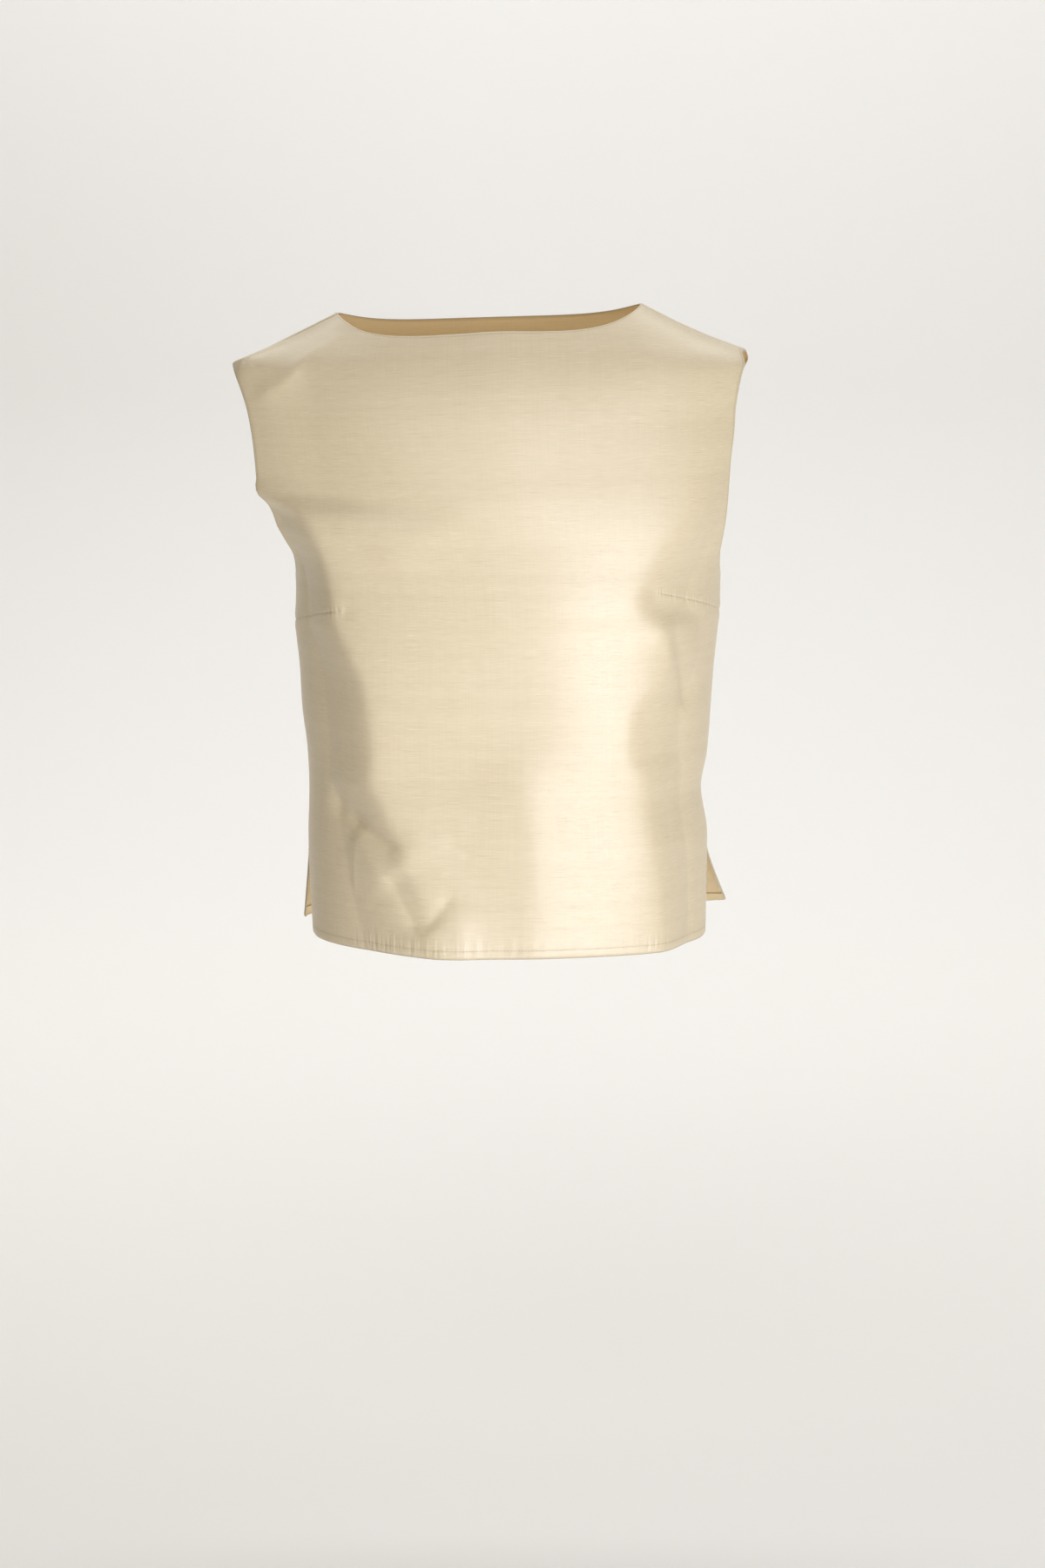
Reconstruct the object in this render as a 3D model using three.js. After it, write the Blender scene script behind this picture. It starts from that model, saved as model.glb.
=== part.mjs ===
// A sleeveless silk top with a boat neck, bust darts and open side slits, standing open as it hangs on
// the shoulders of its wearer. The cloth is a thin wall: a front and a back that meet at the shoulders
// and the sides, with narrow turnings folded up inside the hem and the slits.
//
// Millimetres. +Z is up, the front faces -Y and +X is the wearer's left. The origin lies midway between
// the two neck points, on top of the shoulders, where the wearer holds the top up.
import * as THREE from "three";

// Cloth.
const wall = 1.4;
const seamGap = 0.3;

// Heights, measured from the neck points.
const shoulderTip = { half: 193, height: -37 };
const neckPoint = { half: 114, height: 0 };
const neckDrop = { front: 17, back: 9 };
const neckFlatness = 5; // how level the neckline runs before it climbs to the neck points
const underarm = -200;
const slitTop = -410;
const hem = -475;

// Sections of the filled-out top: half widths to the wearer's left and right, depths from the side
// seams to the centre front and centre back.
const sections = [
  { height: 0, left: 114, right: 114, front: 46, back: 44 },
  { height: -37, left: 193, right: 193, front: 77, back: 70 },
  { height: -48, left: 203, right: 194, front: 84, back: 77 },
  { height: -66, left: 204, right: 193, front: 93, back: 85 },
  { height: -88, left: 202, right: 192, front: 101, back: 92 },
  { height: -115, left: 195, right: 190.5, front: 108, back: 98 },
  { height: -142, left: 187, right: 184.5, front: 114, back: 101 },
  { height: -156, left: 181, right: 180, front: 117, back: 102 },
  { height: -170, left: 174, right: 171.5, front: 119, back: 102 },
  { height: -183, left: 167.5, right: 163.5, front: 120, back: 101 },
  { height: -200, left: 162.5, right: 160, front: 121, back: 100 },
  { height: -235, left: 160, right: 161.5, front: 122, back: 98 },
  { height: -270, left: 156.5, right: 158.5, front: 120, back: 96 },
  { height: -300, left: 154.5, right: 157, front: 118, back: 95 },
  { height: -335, left: 152, right: 153, front: 115, back: 94 },
  { height: -363, left: 147.5, right: 152, front: 114, back: 94 },
  { height: -400, left: 152.5, right: 153, front: 113, back: 97 },
  { height: -475, left: 152, right: 150.5, front: 113, back: 101 },
];
const squareness = 2.2; // 2 is an ellipse; more is boxier

// The armhole's edge swings this far from the side line, as a half oval between underarm and tip.
const armhole = { front: 52, back: 44, fullness: 0.8 };

// The shoulder seam lies forward of the shoulder's crest. The wearer's left shoulder sags a little.
const shoulderSeamForward = 10;
const shoulderSag = { left: 2, right: 0 };

// The shoulders lean: they sit aside of the trunk and drop to the wearer's right.
const lean = { aside: 14, tilt: 0.03, from: -230, to: -60 };

// Below its top each slit opens: the front corner swings in, the back corner swings out, back and up.
const slits = [
  { side: 1, frontIn: 1, frontForward: 12, backOut: 18, backAway: 34, backLift: 16 },
  { side: -1, frontIn: 1, frontForward: 9, backOut: 8, backAway: 14, backLift: 6 },
];
const slitReach = { front: 0.45, back: 0.85 }; // share of a quarter girth that swings with the corner

// Bust darts: from the side seam to a tip, as the turn from the centre and the height there.
const darts = [
  { side: 1, tipTurn: 37.5, tipHeight: -203, seamHeight: -229 },
  { side: -1, tipTurn: 41.5, tipHeight: -217, seamHeight: -236 },
];
const dartHeight = -222; // the row that is drawn to the darts
const dartSpread = 26; // how far above and below a dart the rows follow its slope
const dartGroove = { width: 3.2, depth: 1.1 };

// Ridges that run down the garment, the edges where its flat front or back turns to the sides. Each row
// gives a ridge's turn from the centre line in degrees, with plus to the wearer's left, how high it rises
// over the plain form, and how far its slopes run towards the centre and towards the side.
const rightFrontRidge = [
  { height: -119, turn: -66, rise: 0, inside: 65, outside: 22 },
  { height: -130, turn: -60, rise: 5, inside: 65, outside: 24 },
  { height: -139, turn: -51, rise: 10, inside: 70, outside: 28 },
  { height: -147, turn: -46, rise: 13, inside: 75, outside: 32 },
  { height: -161, turn: -44.5, rise: 14, inside: 80, outside: 38 },
  { height: -193, turn: -46.5, rise: 15, inside: 85, outside: 43 },
  { height: -230, turn: -44, rise: 15, inside: 85, outside: 44 },
  { height: -247, turn: -40, rise: 15, inside: 85, outside: 44 },
  { height: -279, turn: -35.5, rise: 15, inside: 80, outside: 46 },
  { height: -317, turn: -34.5, rise: 15, inside: 75, outside: 48 },
  { height: -343, turn: -36, rise: 14.5, inside: 68, outside: 49 },
  { height: -366, turn: -31.5, rise: 14, inside: 68, outside: 50 },
  { height: -401, turn: -27, rise: 13, inside: 68, outside: 50 },
  { height: -430, turn: -23, rise: 12, inside: 60, outside: 52 },
  { height: -475, turn: -17, rise: 12, inside: 60, outside: 54 },
];
const leftFrontRidge = [
  { height: -78, turn: 58, rise: 0, inside: 80, outside: 35 },
  { height: -100, turn: 52, rise: 4, inside: 95, outside: 38 },
  { height: -130, turn: 47, rise: 8, inside: 120, outside: 40 },
  { height: -154, turn: 43.5, rise: 10, inside: 130, outside: 42 },
  { height: -187, turn: 36.5, rise: 11, inside: 140, outside: 44 },
  { height: -212, turn: 32, rise: 11.5, inside: 145, outside: 44 },
  { height: -221, turn: 34, rise: 11.5, inside: 145, outside: 44 },
  { height: -230, turn: 40, rise: 11.5, inside: 145, outside: 44 },
  { height: -248, turn: 43.5, rise: 11.5, inside: 145, outside: 42 },
  { height: -269, turn: 40, rise: 11.5, inside: 145, outside: 42 },
  { height: -299, turn: 31.5, rise: 11.5, inside: 135, outside: 46 },
  { height: -320, turn: 31.5, rise: 11.5, inside: 130, outside: 46 },
  { height: -346, turn: 37, rise: 12, inside: 125, outside: 44 },
  { height: -386, turn: 39, rise: 12, inside: 120, outside: 42 },
  { height: -432, turn: 41.5, rise: 12, inside: 120, outside: 40 },
  { height: -475, turn: 43.5, rise: 12, inside: 120, outside: 38 },
];
const rightBackRidge = [
  { height: -90, turn: -60, rise: 0, inside: 60, outside: 50 },
  { height: -140, turn: -54, rise: 6, inside: 70, outside: 60 },
  { height: -230, turn: -45, rise: 8, inside: 70, outside: 75 },
  { height: -320, turn: -38, rise: 6, inside: 60, outside: 80 },
  { height: -380, turn: -42, rise: 7, inside: 70, outside: 80 },
  { height: -475, turn: -47, rise: 9, inside: 75, outside: 70 },
];
const leftBackRidge = [
  { height: -80, turn: 62, rise: 0, inside: 60, outside: 50 },
  { height: -135, turn: 56, rise: 6, inside: 70, outside: 60 },
  { height: -215, turn: 49, rise: 8, inside: 70, outside: 75 },
  { height: -300, turn: 36, rise: 7, inside: 60, outside: 85 },
  { height: -375, turn: 35, rise: 6, inside: 60, outside: 85 },
  { height: -475, turn: 44, rise: 8, inside: 75, outside: 75 },
];
const ridgeRound = 5.5; // radius that softens a ridge's crest

// Folds rise out of the cloth, and hollows, with a rise below 0, sink in. Each runs between two places,
// given as [turn, height]. It bows sideways by bow mm and dies away over width mm to each side.
const frontFolds = [
  { name: "right hip hollow", from: [-62, -360], to: [-23, -402], bow: -1, width: 9, rise: -2.6 },
  { name: "right hip roll", from: [-47, -382], to: [-29, -424], bow: 2, width: 10, rise: 1.8 },
  { name: "right hem hollow", from: [-30, -408], to: [-20, -458], bow: -2, width: 8, rise: -3 },
  { name: "chest drag", from: [-33.5, -186], to: [-1, -132], bow: 4, width: 12, rise: 1.6 },
  { name: "left side hollow", from: [44, -226], to: [60, -300], bow: 3, width: 9, rise: -3.5 },
  { name: "chest by the right armhole", from: [-69, -12], to: [-64, -152], bow: 0, width: 30, rise: 8 },
  { name: "flat chest", from: [-42, 40], to: [-40, -190], bow: 0, width: 34, rise: -2.5 },
  { name: "chest edge", from: [2.5, 20], to: [2, -175], bow: 0, width: 38, rise: 5 },
  { name: "lower edge", from: [2.5, -300], to: [8.5, -560], bow: 0, width: 38, rise: 6.5 },
];
const backFolds = [
  { name: "centre hollow", from: [-3, -250], to: [4, -475], bow: 6, width: 34, rise: -6 },
  { name: "waist hollow", from: [62, -330], to: [22, -372], bow: 6, width: 15, rise: -3.5 },
  { name: "right waist hollow", from: [-58, -300], to: [-30, -352], bow: -5, width: 14, rise: -3.5 },
];
const foldRound = 7; // radius that softens a fold's crest
const foldFade = 0.22; // share of a fold's length over which each end dies away
const girthPerDegree = 2.25; // mm of cloth round the body for each degree of turn

// The turnings folded up inside the hem and the slits.
const turning = { width: 8, thickness: 0.9, cornerGap: 0.6 };

// How finely each wall is divided. Columns run from side seam to side seam. Trunk rows climb from the
// hem to each of these heights in equal steps, and yoke rows go on to the neckline and the shoulders.
const frontGrid = {
  columns: 48,
  yokeRows: 17,
  trunk: [
    { height: hem + turning.width, steps: 1 },
    { height: slitTop, steps: 4 },
    { height: dartHeight - 2 * dartGroove.width, steps: 9 },
    { height: dartHeight, steps: 1 },
    { height: dartHeight + 2 * dartGroove.width, steps: 1 },
    { height: underarm, steps: 2 },
  ],
};
const backGrid = {
  columns: 48,
  yokeRows: 14,
  trunk: [
    { height: hem + turning.width, steps: 1 },
    { height: slitTop, steps: 4 },
    { height: underarm, steps: 11 },
  ],
};
const lastColumn = 1 - turning.width / (90 * girthPerDegree); // beside the slit's turning
const neckShare = (lastColumn * 7) / 12; // columns up to here end at the neckline
const crestShare = (lastColumn * 5) / 12; // the columns here run along the ridges

const FRONT = -1;
const BACK = 1;
const quarterTurn = 90;

const mix = (from, to, share) => from + (to - from) * share;
const clamp01 = (value) => Math.min(1, Math.max(0, value));
const ease = (share) => clamp01(share) ** 2 * (3 - 2 * clamp01(share));
const radians = THREE.MathUtils.degToRad;
const degrees = THREE.MathUtils.radToDeg;
const signedPower = (value, power) => Math.sign(value) * Math.abs(value) ** power;

// Reads a column of a table at a height, on a smooth curve that never overshoots its rows.
function tableValue(table, column, height) {
  const last = table.length - 1;
  if (height >= table[0].height) return table[0][column];
  if (height <= table[last].height) return table[last][column];
  const at = table.findIndex((row) => row.height <= height) - 1;
  const slope = (i) => {
    const [above, below] = table.slice(i, i + 2);
    return (below[column] - above[column]) / (below.height - above.height);
  };
  const tangent = (i) => {
    if (i === 0) return slope(0);
    if (i === last) return slope(last - 1);
    const product = slope(i - 1) * slope(i);
    return product <= 0 ? 0 : (2 * product) / (slope(i - 1) + slope(i));
  };
  const span = table[at + 1].height - table[at].height;
  const share = (height - table[at].height) / span;
  const begin = table[at][column];
  const end = table[at + 1][column];
  const square = share * share;
  const cube = square * share;
  return (
    (2 * cube - 3 * square + 1) * begin +
    (cube - 2 * square + share) * tangent(at) * span +
    (3 * square - 2 * cube) * end +
    (cube - square) * tangent(at + 1) * span
  );
}

// Half the width at a height: straight along the shoulder, and from the table below its tip.
function halfWidth(side, height) {
  if (height > shoulderTip.height) return mix(neckPoint.half, shoulderTip.half, height / shoulderTip.height);
  return tableValue(sections, side > 0 ? "left" : "right", height);
}

const depthAt = (face, height) => tableValue(sections, face === FRONT ? "front" : "back", height);

// Height of a fold's surface over the plain form, at a turn and a height.
function foldRise(fold, turn, height) {
  const runAcross = (fold.to[0] - fold.from[0]) * girthPerDegree;
  const runUp = fold.to[1] - fold.from[1];
  const length = Math.hypot(runAcross, runUp);
  const across = (turn - fold.from[0]) * girthPerDegree;
  const up = height - fold.from[1];
  const along = (across * runAcross + up * runUp) / (length * length);
  if (along <= 0 || along >= 1) return 0;
  const aside = (across * runUp - up * runAcross) / length - fold.bow * 4 * along * (1 - along);
  const crest = Math.exp(-(Math.hypot(aside, foldRound) - foldRound) / fold.width);
  const fade = ease(along / foldFade) * ease((1 - along) / foldFade);
  return fold.rise * crest * fade;
}

const ridgesOf = (face) =>
  face === FRONT ? [rightFrontRidge, leftFrontRidge] : [rightBackRidge, leftBackRidge];

// Height of a ridge's surface over the plain form.
function ridgeRise(ridge, turn, height) {
  const crest = tableValue(ridge, "turn", height);
  const beside = (turn - crest) * girthPerDegree;
  const outwards = beside * crest > 0;
  const slope = tableValue(ridge, outwards ? "outside" : "inside", height);
  const fall = (Math.hypot(beside, ridgeRound) - ridgeRound) / slope;
  return tableValue(ridge, "rise", height) * clamp01(1 - fall) ** (outwards ? 1.3 : 1.8);
}

// Everything that lifts a face's cloth off the plain form, or sinks it.
function figureRise(face, turn, height) {
  const folds = face === FRONT ? frontFolds : backFolds;
  const total = [
    ...folds.map((fold) => foldRise(fold, turn, height)),
    ...ridgesOf(face).map((ridge) => ridgeRise(ridge, turn, height)),
  ].reduce((sum, rise) => sum + rise);
  const seamShare = ease((quarterTurn - Math.abs(turn)) / 8); // they die away at the seams
  return total * seamShare + (face === FRONT ? dartSink(turn, height) : 0);
}

// The line of a bust dart at a turn, and the groove that it pulls into the front.
const dartOn = (turn) => darts.find((dart) => dart.side === Math.sign(turn)) ?? darts[0];
function dartLine(turn) {
  const dart = dartOn(turn);
  const past = clamp01((Math.abs(turn) - dart.tipTurn) / (quarterTurn - dart.tipTurn));
  return mix(dart.tipHeight, dart.seamHeight, past);
}
function dartSink(turn, height) {
  const dart = dartOn(turn);
  const reach = ease((Math.abs(turn) - dart.tipTurn + 4) / 12);
  return -dartGroove.depth * reach * Math.exp(-Math.abs(height - dartLine(turn)) / dartGroove.width);
}

// A point of the plain figure. turn goes from 0 at this face's centre line to 90 at the side seam.
function figurePoint(face, side, turn, height) {
  const angle = radians(turn);
  const beyond = turn > quarterTurn ? -face : face;
  const power = 2 / squareness;
  const x = side * halfWidth(side, height) * signedPower(Math.sin(angle), power);
  const y = face * depthAt(beyond, height) * signedPower(Math.cos(angle), power);
  return new THREE.Vector3(x, y, height);
}

// Outward direction of the plain figure, found from its neighbours.
function figureNormal(face, side, turn, height) {
  const step = 0.8;
  const near = (turnStep, heightStep) => figurePoint(face, side, turn + turnStep, height + heightStep);
  const across = near(step, 0).sub(near(-step, 0));
  const up = near(0, step).sub(near(0, -step));
  return across.cross(up).normalize().multiplyScalar(-face * side);
}

// Moves the upper part aside, tilts it and lets the shoulders sag, with the trunk left upright.
function leaned(point) {
  const share = ease((point.z - lean.from) / (lean.to - lean.from));
  const along = clamp01((Math.abs(point.x) - neckPoint.half) / (shoulderTip.half - neckPoint.half));
  const sag = (point.x > 0 ? shoulderSag.left : shoulderSag.right) * Math.sin(Math.PI * along);
  return new THREE.Vector3(
    point.x + lean.aside * (1 - share),
    point.y,
    point.z + (lean.tilt * point.x - sag) * share,
  );
}

// Swings a slit's corner, more towards the seam and towards the hem.
function slitSwing(point, face, side, turn) {
  const slit = slits.find((row) => row.side === side);
  const below = clamp01((slitTop - point.z) / (slitTop - hem));
  const reach = face === FRONT ? slitReach.front : slitReach.back;
  const beside = clamp01((turn / quarterTurn - 1 + reach) / reach);
  const share = face === FRONT ? below ** 1.4 * beside ** 2 : below ** 1.15 * beside ** 1.5;
  if (face === FRONT) {
    point.x -= side * slit.frontIn * share;
    point.y -= slit.frontForward * share;
  } else {
    point.x += side * slit.backOut * share;
    point.y += slit.backAway * share;
    point.z += slit.backLift * share;
  }
  return point;
}

// The cloth's outer surface at a signed turn and a height.
function clothPoint(face, turn, height) {
  const side = turn < 0 ? -1 : 1;
  const swing = Math.abs(turn);
  const point = figurePoint(face, side, swing, height);
  const normal = figureNormal(face, side, swing, height);
  point.addScaledVector(normal, figureRise(face, turn, height));
  return leaned(slitSwing(point, face, side, swing));
}

// The way out of the cloth, found from its neighbours.
function clothNormal(face, turn, height) {
  const step = 0.5;
  const near = (turnStep, heightStep) => clothPoint(face, turn + turnStep, height + heightStep);
  const across = near(step, 0).sub(near(-step, 0));
  const up = near(0, step).sub(near(0, -step));
  return across.cross(up).normalize().multiplyScalar(-face);
}

// Height of the neckline at a distance from the centre line.
function necklineHeight(face, across) {
  const drop = face === FRONT ? neckDrop.front : neckDrop.back;
  return -drop * (1 - Math.abs(across / neckPoint.half) ** neckFlatness);
}

// Turn from this face's centre line to a place at a distance in front of the side line.
function turnAt(face, forward, height) {
  const beyond = forward < 0 ? -face : face;
  return degrees(Math.acos(signedPower(forward / depthAt(beyond, height), squareness / 2)));
}

const seamForward = (face) => seamGap / 2 + (face === FRONT ? shoulderSeamForward : -shoulderSeamForward);

// Where a column ends at the top: on the neckline or on the shoulder seam.
function columnTop(face, column) {
  const share = Math.abs(column) / neckShare;
  if (share >= 1) {
    const along = (Math.abs(column) - neckShare) / (1 - neckShare);
    const height = shoulderTip.height * along;
    return { turn: turnAt(face, seamForward(face), height), height };
  }
  const turn = share * turnAt(face, seamForward(face), 0);
  if (turn >= quarterTurn) return { turn, height: 0 };
  const across = neckPoint.half * Math.sin(radians(turn)) ** (2 / squareness);
  const height = necklineHeight(face, across);
  const sine = (across / halfWidth(1, height)) ** (squareness / 2);
  return { turn: degrees(Math.asin(Math.min(1, sine))), height };
}

// The armhole's edge at a share of its way from underarm to tip.
function armholeEdge(face, share) {
  const height = mix(underarm, shoulderTip.height, (1 - Math.cos(Math.PI * share)) / 2);
  const reach = face === FRONT ? armhole.front : armhole.back;
  const swing = reach * Math.max(0, Math.sin(Math.PI * share)) ** armhole.fullness;
  return { turn: turnAt(face, swing + mix(seamGap / 2, seamForward(face), share ** 8), height), height };
}

// Length of cloth from the centre line round to the side line, and the length round to a turn. A circle's
// quarter is half pi of its radius, and the squarer sections here are a little longer.
function quarterGirth(face, side, height) {
  const meanRadius = Math.hypot(halfWidth(side, height), depthAt(face, height)) * Math.SQRT1_2;
  return 1.03 * (Math.PI / 2) * meanRadius;
}
const reachOf = (face, side, place) => (quarterGirth(face, side, place.height) * place.turn) / quarterTurn;

// How far a row of the front is drawn up or down at a place, to run along the darts.
function dartDraw(turn, level) {
  const inwards = ease(Math.abs(turn) / dartOn(turn).tipTurn);
  const follow = Math.exp(-(((level - dartHeight) / dartSpread) ** 2));
  return (dartLine(turn) - dartHeight) * inwards * follow;
}

// Turn and height of a panel's point, with its columns spread evenly. column runs from -1 to 1 between
// the side seams. Rows from 0 to 1 fill the trunk from hem to underarm, and rows from 1 to 2 the yoke from
// underarm to top. The yoke is spread between its four edges, measured along the cloth.
function evenPlace(face, column, row) {
  const share = Math.abs(column);
  const side = column < 0 ? -1 : 1;
  const drawn = (turn, height, free) => ({
    turn,
    height: height + (face === FRONT ? dartDraw(turn, height) * mix(1, free, share ** 6) : 0),
  });
  if (row <= 1) {
    const level = mix(hem, underarm, row);
    return drawn(side * share * turnAt(face, seamGap / 2, level), level, ease((underarm - level) / 20));
  }
  const rise = row - 1;
  const reach = (place) => reachOf(face, side, place);
  const top = columnTop(face, column);
  const tip = columnTop(face, 1);
  const start = armholeEdge(face, 0);
  const edge = armholeEdge(face, rise);
  const edgeLift = edge.height - mix(underarm, tip.height, rise);
  const edgeSwing = reach(edge) - mix(reach(start), reach(tip), rise);
  const height = mix(underarm, top.height, rise) + share ** 3 * edgeLift;
  const along = mix(share * reach(start), reach(top), rise) + share * edgeSwing;
  return drawn((side * quarterTurn * along) / quarterGirth(face, side, height), height, 0);
}

// The column that lies on a ridge's crest in a row. In the yoke it goes back to its even place.
function crestColumn(face, ridge, row) {
  const home = crestShare * Math.sign(ridge[0].turn);
  let column = home;
  let place = evenPlace(face, column, row);
  for (let pass = 0; pass < 3; pass++) {
    column *= tableValue(ridge, "turn", place.height) / place.turn;
    place = evenPlace(face, column, row);
  }
  return mix(home, column, ease((1.7 - row) / 0.7));
}

// Turn and height of a panel's point, with the columns drawn aside so that one runs along each ridge.
function panelPlace(face, column, row) {
  if (Math.abs(column) >= lastColumn) return evenPlace(face, column, row);
  const [right, left] = ridgesOf(face).map((ridge) => crestColumn(face, ridge, row));
  const outer = (lastColumn - Math.abs(column)) / (lastColumn - crestShare);
  if (column < -crestShare) return evenPlace(face, mix(-lastColumn, right, outer), row);
  if (column > crestShare) return evenPlace(face, mix(lastColumn, left, outer), row);
  return evenPlace(face, mix(right, left, (column / crestShare + 1) / 2), row);
}

const trunkShare = (height) => (height - hem) / (underarm - hem);

// A panel's rows, as shares of the trunk and then of the yoke.
function panelRows(grid) {
  const rows = [0];
  for (const { height, steps } of grid.trunk) {
    const begin = rows.at(-1);
    for (let i = 1; i <= steps; i++) rows.push(mix(begin, trunkShare(height), i / steps));
  }
  for (let i = 1; i <= grid.yokeRows; i++) rows.push(1 + i / grid.yokeRows);
  return rows;
}

// A panel's columns: even ones, with the last as wide as a slit's turning.
function panelColumns(grid) {
  const shares = Array.from({ length: grid.columns + 1 }, (_, i) => i / grid.columns);
  return [-1, ...shares.map((share) => mix(-lastColumn, lastColumn, share)), 1];
}

// A panel's columns and rows, its grid of outer points, and the ways out of the cloth there.
function panelGrid(face, grid) {
  const columns = panelColumns(grid);
  const rows = panelRows(grid);
  const places = rows.map((row) => columns.map((column) => panelPlace(face, column, row)));
  const points = places.map((line) => line.map((place) => clothPoint(face, place.turn, place.height)));
  const normals = places.map((line) => line.map((place) => clothNormal(face, place.turn, place.height)));
  return { face, columns, rows, points, normals };
}

// Points moved along their normals, inwards for a negative distance.
const offsetGrid = ({ points, normals }, distance) =>
  points.map((line, row) =>
    line.map((point, column) => point.clone().addScaledVector(normals[row][column], distance)),
  );

// A closed wall between an outer and an inner grid of points. Facing says which way columns run.
function wallGeometry(outer, inner, facing) {
  const rows = outer.length;
  const columns = outer[0].length;
  const positions = [...outer.flat(), ...inner.flat()].flatMap((point) => point.toArray());
  const outside = (row, column) => row * columns + column;
  const inside = (row, column) => rows * columns + row * columns + column;
  const triangles = [];
  const quad = (a, b, c, d) => {
    if (facing < 0) triangles.push(a, c, b, a, d, c);
    else triangles.push(a, b, c, a, c, d);
  };
  for (let row = 0; row < rows - 1; row++) {
    for (let column = 0; column < columns - 1; column++) {
      const right = column + 1;
      const above = row + 1;
      quad(outside(row, column), outside(row, right), outside(above, right), outside(above, column));
      quad(inside(row, column), inside(above, column), inside(above, right), inside(row, right));
    }
  }
  for (let column = 0; column < columns - 1; column++) {
    quad(inside(0, column), inside(0, column + 1), outside(0, column + 1), outside(0, column));
    const top = rows - 1;
    quad(outside(top, column), outside(top, column + 1), inside(top, column + 1), inside(top, column));
  }
  for (let row = 0; row < rows - 1; row++) {
    quad(outside(row, 0), outside(row + 1, 0), inside(row + 1, 0), inside(row, 0));
    const end = columns - 1;
    quad(inside(row, end), inside(row + 1, end), outside(row + 1, end), outside(row, end));
  }
  const geometry = new THREE.BufferGeometry();
  geometry.setAttribute("position", new THREE.Float32BufferAttribute(positions, 3));
  geometry.setIndex(triangles);
  geometry.computeVertexNormals();
  return geometry;
}

const silk = new THREE.MeshStandardMaterial({ color: 0xdccba6, roughness: 0.42, metalness: 0 });
const silkInside = new THREE.MeshStandardMaterial({ color: 0xd2bc8a, roughness: 0.6, metalness: 0 });

function named(name, geometry, material) {
  const mesh = new THREE.Mesh(geometry, material);
  mesh.name = name;
  return mesh;
}

// The front or the back as one wall.
const panelMesh = (name, panel) =>
  named(name, wallGeometry(panel.points, offsetGrid(panel, -wall), -panel.face), silk);

// Where a value lies in a rising list, as a whole step and the share of the next.
function locate(list, value) {
  const next = Math.min(list.length - 1, Math.max(1, list.findIndex((entry) => entry >= value)));
  return { step: next - 1, share: (value - list[next - 1]) / (list[next] - list[next - 1]) };
}

// A point between four points of a grid.
function between(points, across, up) {
  const line = (row) => points[row][across.step].clone().lerp(points[row][across.step + 1], across.share);
  return line(up.step).lerp(line(up.step + 1), up.share);
}

// A strip of cloth lying inside a panel, made from the panel's own points between some of its columns
// and rows.
function turningMesh(name, panel, columns, rows) {
  const layer = (depth) => {
    const points = offsetGrid(panel, -depth);
    return rows.map((row) =>
      columns.map((column) => between(points, locate(panel.columns, column), locate(panel.rows, row))),
    );
  };
  const depth = wall + seamGap;
  return named(name, wallGeometry(layer(depth), layer(depth + turning.thickness), -panel.face), silkInside);
}

// The hem's turning, between the two slit turnings.
function hemTurning(name, panel) {
  const end = lastColumn - turning.cornerGap / (quarterTurn * girthPerDegree);
  const inside = panel.columns.filter((column) => Math.abs(column) < end);
  return turningMesh(name, panel, [-end, ...inside, end], panel.rows.slice(0, 2));
}

// A slit's turning, from the hem up to the top of the slit.
function slitTurning(name, panel, side) {
  const rows = panel.rows.filter((row) => row <= trunkShare(slitTop));
  const columns = side > 0 ? panel.columns.slice(-2) : panel.columns.slice(0, 2);
  return turningMesh(name, panel, columns, rows);
}

const front = panelGrid(FRONT, frontGrid);
const back = panelGrid(BACK, backGrid);
const top = new THREE.Group();
top.add(
  panelMesh("front_panel", front),
  panelMesh("back_panel", back),
  hemTurning("front_hem_turning", front),
  hemTurning("back_hem_turning", back),
  slitTurning("front_slit_turning_left", front, 1),
  slitTurning("front_slit_turning_right", front, -1),
  slitTurning("back_slit_turning_left", back, 1),
  slitTurning("back_slit_turning_right", back, -1),
);

export default top;
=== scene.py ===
"""A sleeveless silk top with a boat neck, bust darts and open side slits, standing open as it is worn."""

import math
from collections import namedtuple

import bmesh
import bpy
import numpy as np
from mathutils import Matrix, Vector


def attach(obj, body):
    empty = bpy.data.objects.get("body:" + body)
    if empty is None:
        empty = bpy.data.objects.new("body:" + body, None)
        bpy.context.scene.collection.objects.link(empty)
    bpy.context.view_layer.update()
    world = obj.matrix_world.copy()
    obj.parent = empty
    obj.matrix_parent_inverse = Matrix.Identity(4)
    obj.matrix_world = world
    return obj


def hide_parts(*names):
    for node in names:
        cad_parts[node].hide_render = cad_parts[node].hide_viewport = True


bl_info = {
    "name": "Silk Shell Top",
    "version": (1, 0, 0),
    "blender": (4, 5, 0),
    "location": "3D View > Sidebar > Silk Top",
    "description": "Builds a sleeveless top in slubbed silk with its stitching",
    "category": "Add Mesh",
}

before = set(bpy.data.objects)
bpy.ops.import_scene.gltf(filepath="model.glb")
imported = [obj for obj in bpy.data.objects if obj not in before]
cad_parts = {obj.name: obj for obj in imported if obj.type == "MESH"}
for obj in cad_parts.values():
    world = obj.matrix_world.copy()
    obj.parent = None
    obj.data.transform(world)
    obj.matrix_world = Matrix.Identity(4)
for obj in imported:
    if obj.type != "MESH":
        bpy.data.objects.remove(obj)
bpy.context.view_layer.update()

# The garment's form, in millimetres, in the same terms as the part's solids. Heights are measured from
# the neck points. A turn is the angle in degrees from a face's centre line, plus to the wearer's left.

FRONT, BACK = -1, 1
QUARTER = 90.0
MM = 0.001

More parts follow.
